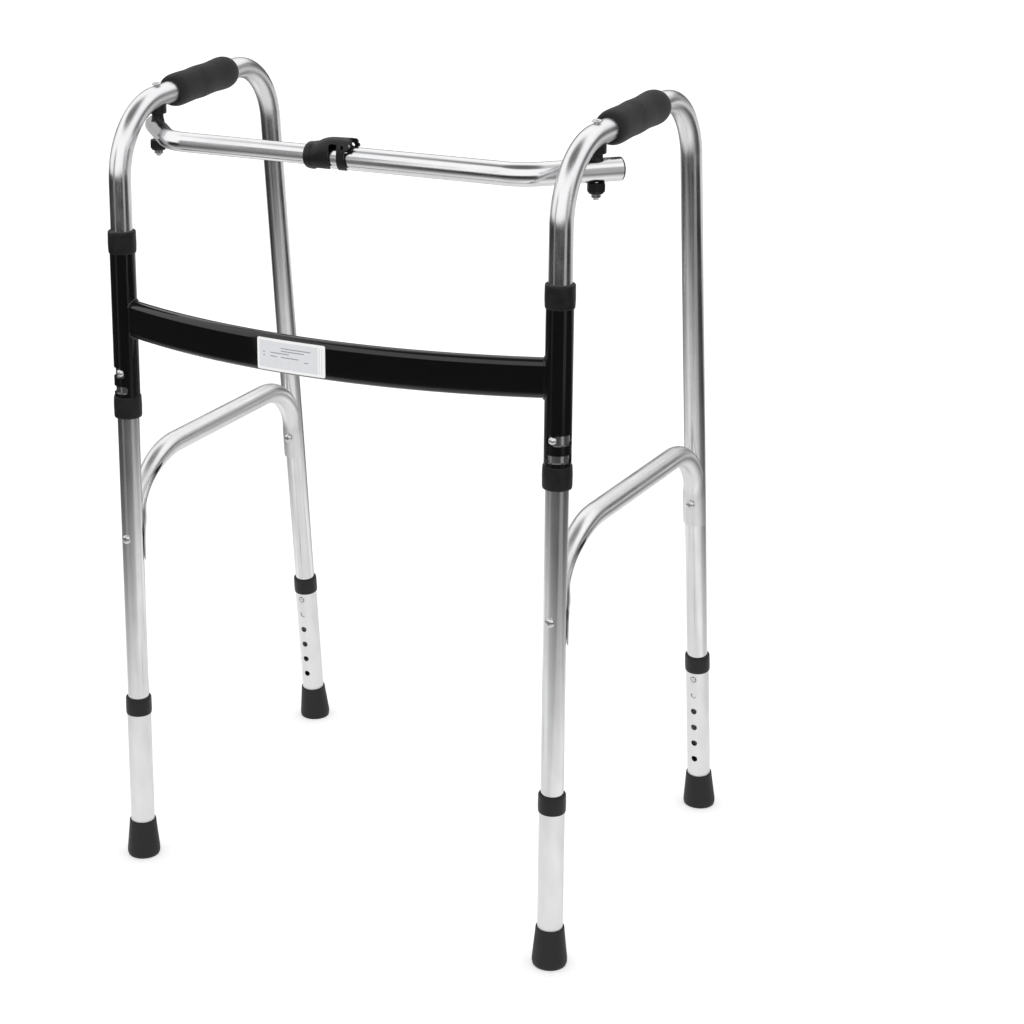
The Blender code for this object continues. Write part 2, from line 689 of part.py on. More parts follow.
def build_pivot(side, label, fold_axis, bar_axis):
    """Bolt, saddles and nuts that hang the crossbar under the handle tube."""
    bolt = Matrix.Translation(bolt_point(side))
    flat = seen_from(fold_axis, bolt)
    handle_top = HANDLE_Z + HANDLE_SLOPE * BOLT_Y - BAR_Z + TUBE_R
    head = handle_top + 0.0012
    profile = [(0, head + 0.0030), (0.0030, head + 0.0027), (0.0050, head + 0.0014),
               (0.0054, head), (0.0030, head), (0.0030, -0.0318), (0, -0.0318)]
    turned("pivot_bolt_" + label, profile, ZINC, flat, fold_axis, closed=False, sides=12)

    middle = 0.0178
    upper = cylinder("upper_saddle", 0.0104, middle + GAP, 0.0322)
    saddle = add_object("upper_saddle_" + label, upper, COLLAR_PLASTIC, flat, fold_axis)
    room = swept("handle_room", side_route(), TUBE_R + GAP)
    boolean(saddle, add_object("handle_room_" + label, room, parent=fold_axis))
    hole(saddle, "upper_bore_" + label, 0.0034, flat, 0, 0.04, fold_axis)

    lower = cylinder("lower_saddle", 0.0078, 0.0030, middle, top_radius=0.0068)
    saddle = add_object("lower_saddle_" + label, lower, COLLAR_PLASTIC, parent=bar_axis)
    radius = BAR_OUTER_R if side > 0 else BAR_INNER_R
    inner_end = BAR_OUTER_END if side > 0 else BAR_INNER_END
    room = swept("bar_room", bar_route(side, inner_end, 0.01), radius + GAP)
    place = Matrix.Translation((0, FRONT_Y, BAR_Z))
    boolean(saddle, add_object("bar_room_" + label, room, place=place))
    hole(saddle, "lower_bore_" + label, 0.0034, bolt, 0, 0.04, None)

    cap = cylinder("pivot_cap", 0.0106, -0.0225, -BAR_OUTER_R - GAP, sides=6)
    cap = add_object("pivot_cap_" + label, cap, COLLAR_PLASTIC, flat, fold_axis)
    taper = cylinder("cap_taper", 0.0076, -0.0250, -0.0225, sides=6, top_radius=0.0106)
    boolean(cap, add_object("cap_taper_" + label, taper, place=flat, parent=fold_axis),
            "UNION")
    hole(cap, "cap_bore_" + label, 0.0034, flat, -0.04, 0, fold_axis)
    nut = cylinder("pivot_nut", 0.0056, -0.0290, -0.0250 - GAP, sides=6)
    nut = add_object("pivot_nut_" + label, nut, ZINC, flat, fold_axis)
    hole(nut, "nut_thread_" + label, 0.0030 + GAP, flat, -0.04, -0.02, fold_axis)


def stadium(half_width, rise):
    """Outline round the bar with its top lifted by a rise, across X, up Y."""
    outline = []
    steps = 8
    for i in range(steps + 1):
        angle = math.pi * i / steps
        outline.append((half_width * math.cos(angle), rise + half_width * math.sin(angle)))
    for i in range(steps + 1):
        angle = math.pi + math.pi * i / steps
        outline.append((half_width * math.cos(angle), half_width * math.sin(angle)))
    return outline


def shroud(name, stations):
    """A solid lofted along X through (x, half width, rise) stations."""
    mesh = bpy.data.meshes.new(name)
    bm = bmesh.new()
    rings = []
    for x, half_width, rise in stations:
        ring = [bm.verts.new((x, y, z)) for y, z in stadium(half_width, rise)]
        rings.append(ring)
    count = len(rings[0])
    for first, second in zip(rings, rings[1:]):
        for i in range(count):
            j = (i + 1) % count
            bm.faces.new((first[i], first[j], second[j], second[i]))
    bm.faces.new(rings[0])
    bm.faces.new(rings[-1])
    bmesh.ops.remove_doubles(bm, verts=bm.verts, dist=0.00001)
    bmesh.ops.recalc_face_normals(bm, faces=bm.faces)
    bm.to_mesh(mesh)
    bm.free()
    return mesh


def build_lock(right_axis, left_axis):
    """Collar on the outer tube's mouth, and the lever whose hood presses the button."""
    place = Matrix.Translation((0, FRONT_Y + BAR_Y, BAR_Z))
    along = place @ to_axis((1, 0, 0))
    collar_end = -0.0290
    profile = [(BAR_INNER_R + GAP, -0.0380), (0.0130, -0.0380), (0.0145, -0.0360),
               (0.0152, -0.0325), (0.0152, collar_end), (BAR_INNER_R + GAP, collar_end)]
    collar = turned("lock_collar", profile[::-1], COLLAR_PLASTIC,
                    seen_from(right_axis, along), right_axis)
    room = cylinder("collar_room", BAR_OUTER_R + GAP, BAR_OUTER_END - GAP, 0.0)
    boolean(collar, add_object("collar_room", room, place=along))

    start, slot_start, slot_end, arm_end, hood_end = -0.0284, -0.0053, 0.0050, 0.0152, 0.0190
    lever_axis = axis_empty("lock_lever_axis", place @ Matrix.Translation(LEVER_HINGE))
    lever = shroud("lock_lever", [(start, 0.0152, 0.0006), (-0.0180, 0.0152, 0.0042),
                                  (-0.0060, 0.0152, 0.0066), (hood_end, 0.0152, 0.0076)])
    lever = add_object("lock_lever", lever, COLLAR_PLASTIC, seen_from(lever_axis, place),
                       lever_axis)
    inside = shroud("lever_room", [(start - 0.01, 0.0134, 0.0), (start, 0.0134, 0.0),
                                   (-0.0180, 0.0134, 0.0038), (-0.0060, 0.0134, 0.0064),
                                   (hood_end + 0.01, 0.0134, 0.0074)])
    boolean(lever, add_object("lever_room", inside, place=place))
    slot = box("lever_slot", (slot_start, -0.03, -0.03), (slot_end, 0.03, 0.0160))
    boolean(lever, add_object("lever_slot", slot, place=place))
    tail = box("lever_tail", (arm_end, -0.03, -0.03), (hood_end + 0.01, 0.03, 0.0112))
    boolean(lever, add_object("lever_tail", tail, place=place))
    belly = box("lever_belly", (start - 0.01, -0.0090, -0.03), (hood_end, 0.0090, -0.005))
    boolean(lever, add_object("lever_belly", belly, place=place))
    mouth = box("lever_mouth", (hood_end - 0.0035, -0.0060, 0.0), (hood_end + 0.01, 0.0060, 0.03))
    boolean(lever, add_object("lever_mouth", mouth, place=place))
    nub = cylinder("lever_nub", 0.0022, BAR_OUTER_R + 0.0036, BAR_OUTER_R + 0.0088, sides=10)
    shift = Matrix.Translation((BAR_BUTTON_X - 0.0020, 0, 0))
    boolean(lever, add_object("lever_nub", nub, place=place @ shift), "UNION")
    eye = cylinder("lever_eye", 0.0022, -0.03, 0.03, sides=10)
    eye_place = place @ to_axis((0, 1, 0), (0.0112, 0, 0.0132))
    boolean(lever, add_object("lever_eye", eye, place=eye_place))

    spot = Vector((BAR_BUTTON_X, FRONT_Y + BAR_Y, BAR_Z))
    across = Matrix(((0, 1, 0, 0), (-1, 0, 0, 0), (0, 0, 1, 0), (0, 0, 0, 1)))
    snap_clip("bar_clip", BAR_OUTER_R + 0.0030, 0.0034,
              seen_from(left_axis, Matrix.Translation(spot) @ across), left_axis,
              BAR_INNER_R - BAR_WALL - 0.0016, LOCK_PRESS)


# ---------------------------------------------------------------- assembly

def build():
    build_h_frame()
    build_sleeve_collars()
    build_label()
    bar_axes = {}
    for side, label in SIDE_NAMES:
        spot = Matrix.Translation((side * HALF_WIDTH, FRONT_Y, 0))
        fold_axis = axis_empty("fold_axis_" + label,
                               spot @ Matrix.Rotation(-side * SPLAY, 4, "Z"))
        build_side_tube(label, fold_axis)
        build_brace(label, fold_axis)
        build_screws(label, fold_axis)
        build_grip(label, fold_axis)
        build_side_clips(label, fold_axis)
        for leg, place in leg_places().items():
            build_extension(leg, label, place, fold_axis)
        bar_axes[label] = axis_empty("bar_axis_" + label,
                                     Matrix.Translation(bolt_point(side)))
        build_bar(side, label, bar_axes[label])
        build_pivot(side, label, fold_axis, bar_axes[label])
    build_lock(bar_axes["right"], bar_axes["left"])


clear_scene()
PARTS = new_collection("walking_frame")
CUTTERS = new_collection("cutters")
SIDE_NAMES = ((1, "right"), (-1, "left"))
BRIGHT_ALUMINIUM = material("bright_aluminium", ALUMINIUM, 0.18, 1.0)
SATIN_ALUMINIUM = material("satin_aluminium", ALUMINIUM, 0.35, 1.0)
FROSTED_ALUMINIUM = material("frosted_aluminium", ALUMINIUM, 0.50, 1.0)
BLACK_STEEL = material("black_steel", BLACK, 0.20, 0.0)
COLLAR_PLASTIC = material("black_plastic", BLACK, 0.45, 0.0)
FOAM = material("black_foam", BLACK, 0.85, 0.0)
RUBBER = material("black_rubber", BLACK, 0.75, 0.0)
ZINC = material("zinc_steel", STEEL, 0.30, 1.0)
LABEL = material("label_foil", (0.80, 0.80, 0.81, 1.0), 0.40, 0.2)
build()
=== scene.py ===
"""The looks of the folding walking frame: smooth meshes and procedural materials for
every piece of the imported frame, with floor, lights and camera.

Row frame: metres, +Z up, the front H-frame towards -Y. A side frame's own axes have
their origin on its front leg at the floor, with Y running back along the handle.
"""

from math import asin, atan, cos, degrees, dist, pi, radians, sin, sqrt, tan

import bmesh
import bpy
from mathutils import Matrix, Vector


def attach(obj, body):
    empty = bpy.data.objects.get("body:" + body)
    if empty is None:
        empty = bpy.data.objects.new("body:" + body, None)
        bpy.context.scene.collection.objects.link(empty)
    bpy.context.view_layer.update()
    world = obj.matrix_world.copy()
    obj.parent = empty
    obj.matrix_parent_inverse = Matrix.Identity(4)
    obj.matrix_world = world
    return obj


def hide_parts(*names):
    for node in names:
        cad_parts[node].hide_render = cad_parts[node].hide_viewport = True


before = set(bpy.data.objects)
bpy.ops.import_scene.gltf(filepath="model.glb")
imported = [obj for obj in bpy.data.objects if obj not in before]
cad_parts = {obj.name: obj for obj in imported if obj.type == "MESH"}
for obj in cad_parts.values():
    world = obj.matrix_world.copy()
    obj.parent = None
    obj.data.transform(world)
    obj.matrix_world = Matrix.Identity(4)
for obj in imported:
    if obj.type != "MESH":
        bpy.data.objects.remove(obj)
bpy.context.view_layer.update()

# Sizes that the CAD model was built from
HALF_WIDTH = 0.2743
FRONT_Y = -0.2009
SPLAY = radians(1.66)
REAR_FOOT_Y = 0.4405
REAR_LEAN = 0.1113
TUBE_R = 0.0127
TUBE_WALL = 0.0013
HANDLE_Z = 0.9228
HANDLE_SLOPE = 0.055
FRONT_BEND = 0.085
REAR_BEND = 0.083
LEG_END_Z = 0.15
BOLT_Y = 0.083
BRACE_Z = 0.503
BRACE_FRONT_BEND = 0.098
BRACE_REAR_BEND = 0.08
BRACE_END_R = 0.0149
BRACE_NECK = 0.8
BRACE_FRONT_END_Z = 0.384
BRACE_REAR_END_Z = 0.398
FRONT_SCREW_Z = 0.4137
REAR_SCREW_Z = 0.4255
SLEEVE_R = 0.0148
SLEEVE_BORE = 0.0132
SLEEVE_LOW = 0.5672
SLEEVE_HIGH = 0.7808
BOW_Z = 0.682
BOW_HEIGHT = 0.0436
BOW_DEPTH = 0.017
BOW_SAG = 0.0485
BOW_HALF_CHORD = 0.262
BOW_RADIUS = (BOW_HALF_CHORD ** 2 + BOW_SAG ** 2) / (2 * BOW_SAG)
FOLD_SLOT_Z = 0.6182
FOLD_SLOT_HALF = 0.0057
STEP_SLOT_Z = 0.5975
STEP_SLOT_HALF = 0.0044
BAR_Z = 0.8898
BAR_Y = 0.022
BAR_OUTER_R = 0.0127
BAR_INNER_R = 0.0111
BAR_WALL = 0.0012
BAR_BEND = 0.05
BAR_BEND_X = 0.22
BAR_TAIL = 0.027
BAR_OUTER_END = -0.03
BAR_INNER_END = 0.089
BAR_BUTTON_X = 0.0105
EXT_R = 0.0143
EXT_BORE = 0.0131
EXT_LOW = 0.0125
EXT_COLLAR_TOP = {"front": 0.2086, "rear": 0.2167}
EXT_COLLAR_HEIGHT = 0.0215
EXT_COLLAR_LIP = 0.0047
HOLE_DROP = 0.0301
HOLE_PITCH = 0.023
HOLE_COUNT = 6
HOLE_R = 0.004
FOOT_HEIGHT = 0.046
FOLD_HOLE_R = 0.0056
LOCK_HOLE_R = 0.0039
FOLD_BUTTON_R = 0.005
BUTTON_R = 0.0034
PIVOT_BORE = 0.0032
GRIP_START = 0.112
GRIP_END = 0.241
BUTTON_PRESS = 0.0034
LOCK_PRESS = 0.0044
SPRING_ROOM = 0.0016         # from a tube's bore in to its leaf spring
GAP = 0.0003

SIDE_NAMES = ((1, "right"), (-1, "left"))
LEGS = (("front", 1), ("rear", -1))      # a leg and the way its buttons face, along Y
ROUND = 56                               # facets round a tube
REACH = 0.03                             # cutters run this far past what they cut

# Studio: cards and sky as (share of the way, brightness) ramps of grey
FLOOR_GLOW = 0.34
POOL_REACH = 5.0
POOL = ((0.0, 0.86), (0.14, 0.8), (0.24, 0.38), (0.3, 0.16), (0.42, 0.035), (1.0, 0.028))
BEHIND_START = 1.6
BEHIND_END = 3.0
BEHIND_GLOW = 0.9
SKY_STRENGTH = 1.15
FRONT_SKY = ((0.0, 0.9), (0.06, 1.0), (0.81, 1.0), (0.88, 0.16), (1.0, 0.12))
BACK_SKY = ((0.0, 0.05), (0.29, 0.06), (0.38, 1.0), (0.9, 1.0), (0.97, 0.2), (1.0, 0.12))
STRIP_DISTANCE = 2.5
SPILL = 0.45
STRIPS = ((67, 0.95, 0.42), (-32, 0.6, 0.25), (157, 0.55, 0.45), (-120, 0.8, 0.45))
BEND_DULLING = 0.11          # added to the roughness of the tube above its bends

# Camera, in degrees, millimetres of lens and shares of the frame
CAMERA_POINT = (1.1626, -2.007 + FRONT_Y, 1.327)
CAMERA_DOWN = 14.878
CAMERA_TURN = 27.516
LENS = 76.9
SHIFT = (0.0847, -0.1866)


# ---- mesh helpers

def loft(rings, along, around, ends="cap"):
    """A smooth mesh over rings of points, with UVs in metres. along gives each ring's
    distance along the piece, around the distance round the section. ends is cap or
    join (back to the start)."""
    count = len(rings[0])
    verts = [tuple(point) for ring in rings for point in ring]
    faces, uvs = [], []
    last = len(rings) if ends == "join" else len(rings) - 1
    for i in range(last):
        after = (i + 1) % len(rings)
        near, far = along[i], along[i + 1] if i + 1 < len(along) else along[i]
        for j in range(count):
            step = (j + 1) % count
            faces.append((i * count + j, i * count + step, after * count + step,
                          after * count + j))
            left, right = around * j / count, around * (j + 1) / count
            uvs.append(((left, near), (right, near), (right, far), (left, far)))
    if ends == "cap":
        for ring, level in ((0, along[0]), (len(rings) - 1, along[-1])):
            loop = [ring * count + j for j in range(count)]
            loop = loop[::-1] if ring == 0 else loop
            faces.append(tuple(loop))
            uvs.append(tuple((around * k / count, level) for k in range(count)))
    mesh = bpy.data.meshes.new("piece")
    mesh.from_pydata(verts, [], faces)
    layer = mesh.uv_layers.new(name="surface")
    layer.data.foreach_set("uv", [value for face in uvs for pair in face for value in pair])
    mesh.validate()
    mesh.shade_smooth()
    bm = bmesh.new()
    bm.from_mesh(mesh)
    bmesh.ops.recalc_face_normals(bm, faces=bm.faces)
    bm.to_mesh(mesh)
    bm.free()
    return mesh


def circle(radius, count=ROUND):
    turns = [2 * pi * i / count for i in range(count)]
    return [Vector((radius * cos(a), radius * sin(a), 0)) for a in turns]


def arc(radius, start, end, steps, x=0.0, y=0.0):
    """2D points of an arc about (x, y), between two angles in degrees."""
    turns = [radians(start + (end - start) * i / steps) for i in range(steps + 1)]
    return [(x + radius * cos(a), y + radius * sin(a)) for a in turns]


def frames_along(points):
    """Axes carried along a path without twisting: one 3x3 matrix for each point."""
    tangents = []
    for i, point in enumerate(points):
        before = points[max(i - 1, 0)]
        after = points[min(i + 1, len(points) - 1)]
        tangents.append((after - before).normalized())
    axes = []
    lengthwise = abs(tangents[0].x) > 0.7
    side = Vector((0, 0, 1)) if lengthwise else Vector((1, 0, 0))
    for tangent in tangents:
        side = (side - tangent * side.dot(tangent)).normalized()
        axes.append(Matrix((side, tangent.cross(side), tangent)).transposed())
    return axes


def lengths(points):
    total = [0.0]
    for before, after in zip(points, points[1:]):
        total.append(total[-1] + (after - before).length)
    return total


def tube(points, outer, inner=None, scales=None, edge=0.0004, count=ROUND):
    """A tube along a path: hollow with rounded lips if inner is given, else capped."""
    axes = frames_along(points)
    run = lengths(points)
    scales = scales or [1.0] * len(points)
    rings, along = [], []

    def ring(i, radius, shift=0.0):
        base = points[i] + axes[i].col[2] * shift
        rings.append([base + axes[i] @ p for p in circle(radius * scales[i], count)])
        along.append(run[i] + shift)

    last = len(points) - 1
    ring(0, outer - edge)
    ring(0, outer, edge)
    for i in range(1, last):
        ring(i, outer)
    ring(last, outer, -edge)
    ring(last, outer - edge)
    if inner is None:
        return loft(rings, along, 2 * pi * outer)
    ring(last, inner + edge / 2)
    ring(last, inner, -edge / 2)
    for i in range(last - 1, 0, -1):
        ring(i, inner)
    ring(0, inner, edge / 2)
    ring(0, inner + edge / 2)
    along.append(along[-1])
    return loft(rings, along, 2 * pi * outer, ends="join")


def turned(profile, count=ROUND, ring=False):
    """A (radius, height) profile turned about Z, its ends on the axis or joined up."""
    rings, along = [], []
    run = 0.0
    for i, (radius, height) in enumerate(profile):
        if i:
            run += dist(profile[i - 1], profile[i])
        rings.append([p + Vector((0, 0, height)) for p in circle(max(radius, 1e-5), count)])
        along.append(run)
    widest = max(radius for radius, height in profile)
    along.append(run)
    return loft(rings, along, 2 * pi * widest,
                ends="join" if ring else "cap")


def rounded(corners, radius, steps=4, closed=True):
    """A 2D outline with each corner turned into a small arc."""
    outline = []
    count = len(corners)
    for i, corner in enumerate(corners):
        if not closed and i in (0, count - 1):
            outline.append(corner)
            continue
        corner = Vector(corner)
        back = Vector(corners[i - 1]) - corner
        ahead = Vector(corners[(i + 1) % count]) - corner
        size = min(radius, back.length * 0.45, ahead.length * 0.45)
        start = corner + back.normalized() * size
        end = corner + ahead.normalized() * size
        for k in range(steps + 1):
            t = k / steps
            point = start * (1 - t) ** 2 + corner * 2 * t * (1 - t) + end * t ** 2
            outline.append((point.x, point.y))
    return outline


def smooth_curve(knots, per_span=6):
    """Catmull-Rom points through 2D knots."""
    padded = [knots[0], *knots, knots[-1]]
    points = []
    for a, b, c, d in zip(padded, padded[1:], padded[2:], padded[3:]):
        for k in range(per_span):
            t = k / per_span
            points.append(tuple(
                0.5 * (2 * q + (r - p) * t + (2 * p - 5 * q + 4 * r - s) * t ** 2
                       + (3 * q - p - 3 * r + s) * t ** 3)
                for p, q, r, s in zip(a, b, c, d)))
    points.append(tuple(knots[-1]))
    return points


def prism(outline, low, high):
    """A 2D outline given thickness along Z."""
    rings = [[Vector((x, y, z)) for x, y in outline] for z in (low, high)]
    return loft(rings, [low, high], 0.02)


def cylinder(radius, low, high, count=ROUND):
    return prism([(p.x, p.y) for p in circle(radius, count)], low, high)


def block(low, high):
    corners = [(low[0], low[1]), (high[0], low[1]), (high[0], high[1]), (low[0], high[1])]
    return prism(corners, low[2], high[2])


def filleted(corners, radii, steps=20):
    """Points along straight runs joined by arcs, one radius for each inner corner."""
    points = [Vector(corners[0])]
    for before, corner, after, radius in zip(corners, corners[1:], corners[2:], radii):
        corner = Vector(corner)
        back = (Vector(before) - corner).normalized()
        ahead = (Vector(after) - corner).normalized()
        opening = back.angle(ahead)
        centre = corner + (back + ahead).normalized() * radius / sin(opening / 2)
        start = corner + back * radius / tan(opening / 2)
        first = (start - centre).normalized()
        for i in range(steps + 1):
            angle = (pi - opening) * i / steps
            ray = first * cos(angle) - back * sin(angle)
            points.append(centre + ray * radius)
    points.append(Vector(corners[-1]))
    return points


def in_scene(name, data):
    obj = bpy.data.objects.new(name, data)
    bpy.context.scene.collection.objects.link(obj)
    return obj


def joined(mesh, others, operation="DIFFERENCE", sharp=32):
    """The mesh after Booleans with the other meshes, all in the same axes."""
    holder = in_scene("holder", mesh)
    cutters = []
    for other in others:
        cutter = in_scene("cutter", other)
        step = holder.modifiers.new("step", "BOOLEAN")
        step.operation = operation
        step.solver = "EXACT"
        step.object = cutter
        cutters.append(cutter)
    bpy.context.view_layer.update()
    evaluated = holder.evaluated_get(bpy.context.evaluated_depsgraph_get())
    result = bpy.data.meshes.new_from_object(evaluated)
    for obj in (holder, *cutters):
        bpy.data.objects.remove(obj)
    result.shade_smooth()
    result.set_sharp_from_angle(angle=radians(sharp))
    return result


def moved(mesh, place):
    mesh.transform(place)
    return mesh


def piece(name, mesh, body, look, place=Matrix.Identity(4), sharp=32, nodes=None):
    """A shown piece, in the row frame, riding on a body. It stands for the CAD node of
    its own name unless others are given."""
    slot, mat = look
    mesh.transform(place)
    mesh.set_sharp_from_angle(angle=radians(sharp))
    obj = in_scene(name, mesh)
    mesh.materials.clear()
    mesh.materials.append(mat)
    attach(obj, body)
    nodes = [name] if nodes is None else nodes
    if nodes:
        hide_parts(*nodes)
    return obj


# ---- places

BOW_PLACE = Matrix.Translation((0, FRONT_Y, BOW_Z))
BAR_PLACE = Matrix.Translation((0, FRONT_Y, BAR_Z))
# Stands an outline up: its x and y become y and z
LENGTHWISE = Matrix(((0, 0, 1, 0), (1, 0, 0, 0), (0, 1, 0, 0), (0, 0, 0, 1)))


def to_axis(direction, point=(0, 0, 0)):
    turn = Vector((0, 0, 1)).rotation_difference(Vector(direction))
    return Matrix.Translation(point) @ turn.to_matrix().to_4x4()


def facing(direction):
    """Axes with local Z along a direction and local Y up the tube."""
    out = Vector(direction).normalized()
    across = Vector((0, 0, 1)).cross(out).normalized()
    return Matrix((across, out.cross(across), out)).transposed().to_4x4()


def side_place(side):
    spot = Matrix.Translation((side * HALF_WIDTH, FRONT_Y, 0))
    return spot @ Matrix.Rotation(-side * SPLAY, 4, "Z")


def leg_place(leg):
    if leg == "front":
        return Matrix.Identity(4)
    return to_axis((0, -REAR_LEAN, 1), (0, REAR_FOOT_Y, 0))


def rear_leg(z):
    return (0, REAR_FOOT_Y - REAR_LEAN * z, z)


def handle_corner():
    y = (REAR_FOOT_Y - REAR_LEAN * HANDLE_Z) / (1 + REAR_LEAN * HANDLE_SLOPE)
    return (0, y, HANDLE_Z + HANDLE_SLOPE * y)


def hole_height(leg, step=0):
    return EXT_COLLAR_TOP[leg] - HOLE_DROP - step * HOLE_PITCH


def bolt_point(side):
    return Vector((side * (HALF_WIDTH + BOLT_Y * sin(SPLAY)),
                   FRONT_Y + BOLT_Y * cos(SPLAY), BAR_Z))


# ---- materials

class Graph:
    """Nodes under construction."""

    def __init__(self, tree):
        self.nodes, self.links = tree.nodes, tree.links

    def put(self, node, inputs):
        """Sets a node's inputs to values or to what other nodes give out."""
        for key, value in inputs:
            if isinstance(value, bpy.types.NodeSocket):
                self.links.new(value, node.inputs[key])
            else:
                node.inputs[key].default_value = value

    def add(self, kind, inputs=(), **settings):
        """A node with its settings, and inputs as (name or number, value) pairs."""
        node = self.nodes.new(kind)
        for key, value in settings.items():
            setattr(node, key, value)
        self.put(node, inputs)
        return node.outputs

    def coords(self, stretch=(1, 1, 1), surface=False):
        """Where a point is: in metres round and along the surface, or in the object."""
        where = self.add("ShaderNodeTexCoord")["UV" if surface else "Object"]
        return self.add("ShaderNodeMapping", [("Scale", stretch), ("Vector", where)])["Vector"]

    def noise(self, scale, stretch=(1, 1, 1), detail=3.0, surface=False, rough=0.5):
        inputs = [("Scale", scale), ("Detail", detail), ("Roughness", rough),
                  ("Vector", self.coords(stretch, surface))]
        return self.add("ShaderNodeTexNoise", inputs)["Fac"]

    def ranged(self, value, low, high, start=0.3, end=0.7):
        inputs = [("Value", value), ("From Min", start), ("From Max", end), ("To Min", low),
                  ("To Max", high)]
        return self.add("ShaderNodeMapRange", inputs)["Result"]

    def split(self, vector):
        return self.add("ShaderNodeSeparateXYZ", [("Vector", vector)])

    def ramp(self, value, stops):
        """A value turned into grey by a ramp of (position, brightness) pairs."""
        outputs = self.add("ShaderNodeValToRGB", [("Fac", value)])
        elements = outputs["Color"].node.color_ramp.elements
        while len(elements) < len(stops):
            elements.new(0.5)
        for element, (position, grey) in zip(elements, stops):
            element.position = position
            element.color = (grey, grey, grey, 1)
        return outputs["Color"]

    def math(self, operation, first, second):
        inputs = [(0, first), (1, second)]
        return self.add("ShaderNodeMath", inputs, operation=operation)["Value"]

    def mix(self, share, first, second):
        inputs = [("Factor", share), (6, first), (7, second)]
        return self.add("ShaderNodeMix", inputs, data_type="RGBA")[2]


class Shader(Graph):
    """A surface material and the inputs of its principled shader."""

    def __init__(self, name, colour=(0, 0, 0), roughness=0.5, metallic=0.0):
        self.mat = bpy.data.materials.new(name)
        self.mat.use_nodes = True
        super().__init__(self.mat.node_tree)
        self.base = self.nodes["Principled BSDF"]
        self.set(Base_Color=(*colour, 1), Roughness=roughness, Metallic=metallic)

    def set(self, **values):
        """Sets inputs by name, with _ for a space."""
        self.put(self.base, [(key.replace("_", " "), values[key]) for key in values])

    def roughness(self, value, *span):
        self.set(Roughness=self.ranged(value, *span) if span else value)

    def colour(self, share, first, second):
        self.set(Base_Color=self.mix(share, (*first, 1), (*second, 1)))

    def bump(self, height, strength, distance, before=None):
        inputs = [("Strength", strength), ("Distance", distance), ("Height", height)]
        if before is not None:
            inputs.append(("Normal", before))
        normal = self.add("ShaderNodeBump", inputs)["Normal"]
        self.set(Normal=normal)
        return normal


def drawn_tube(name, colour, roughness, streak, grain, bent_above=None):
    """Aluminium tube with drawing lines along it, cloudy patches and fine scratches.
    Bending has dulled the polish above a height, when one is given."""
    shader = Shader(name, colour, roughness, 1.0)
    lines = shader.noise(900, (1, 0.012, 1), 2.0, True)
    cloud = shader.noise(55, (1, 0.35, 1), surface=True)
    dust = shader.noise(1600, detail=2.0, surface=True)
    rough = shader.ranged(cloud, roughness - streak * 0.5, roughness + streak)
    rough = shader.math("ADD", rough, shader.ranged(lines, -streak * 0.4, streak * 0.4))
    if bent_above is not None:
        height = shader.split(shader.coords())["Z"]
        top = shader.ranged(height, 0.0, BEND_DULLING, bent_above, bent_above + 0.05)
        rough = shader.math("ADD", rough, top)
    shader.roughness(rough)
    dull = tuple(c * 0.93 for c in colour)
    shader.colour(shader.ranged(cloud, 0.0, 1.0), colour, dull)
    normal = shader.bump(lines, grain, 0.0001)
    shader.bump(dust, grain * 0.4, 0.00006, normal)
    return shader.mat


def gloss_paint():
    """Gloss black paint with a faint orange-peel texture and dust."""
    shader = Shader("gloss_black_paint", (0.004, 0.004, 0.0045), 0.08)
    peel = shader.noise(520, detail=1.0)
    dust = shader.noise(90, detail=4.0)
    shader.roughness(dust, 0.05, 0.11)
    shader.bump(peel, 0.05, 0.0002)
    shader.set(Coat_Weight=0.15, Coat_Roughness=0.06)
    return shader.mat


def moulded_plastic():
    """Satin black plastic with a fine spark-eroded grain."""
    shader = Shader("moulded_black_plastic", (0.005, 0.005, 0.006), 0.42)
    grain = shader.noise(1500, detail=2.0)
    cloud = shader.noise(120, detail=3.0)
    shader.roughness(cloud, 0.33, 0.46)
    shader.colour(cloud, (0.004, 0.004, 0.005), (0.009, 0.009, 0.01))
    shader.set(Specular_IOR_Level=0.36)
    shader.bump(grain, 0.12, 0.0002)
    return shader.mat


def foam():
    """Closed-cell foam: small pores, soft mottling, a felt-like sheen."""
    shader = Shader("black_foam", (0.022, 0.022, 0.023), 0.85)
    cells = shader.add("ShaderNodeTexVoronoi", [("Scale", 900), ("Vector", shader.coords())])
    pores = shader.ranged(cells["Distance"], 0.0, 1.0, 0.0, 0.6)
    mottle = shader.noise(140, detail=4.0)
    shader.colour(mottle, (0.01, 0.01, 0.011), (0.022, 0.022, 0.023))
    shader.set(Specular_IOR_Level=0.25, Sheen_Weight=0.1, Sheen_Roughness=0.5)
    shader.roughness(mottle, 0.72, 0.92)
    normal = shader.bump(pores, 0.35, 0.0004)
    shader.bump(mottle, 0.25, 0.0006, normal)
    return shader.mat


def rubber():
    """Moulded rubber, slightly chalky with scuffs."""
    shader = Shader("black_rubber", (0.016, 0.016, 0.017), 0.55)
    scuffs = shader.noise(70, (1, 1, 0.3), 5.0, rough=0.65)
    grain = shader.noise(1100, detail=2.0)
    shader.colour(scuffs, (0.006, 0.006, 0.007), (0.017, 0.017, 0.017))
    shader.set(Specular_IOR_Level=0.3)
    shader.roughness(scuffs, 0.42, 0.62)
    shader.bump(grain, 0.2, 0.0003)
    return shader.mat


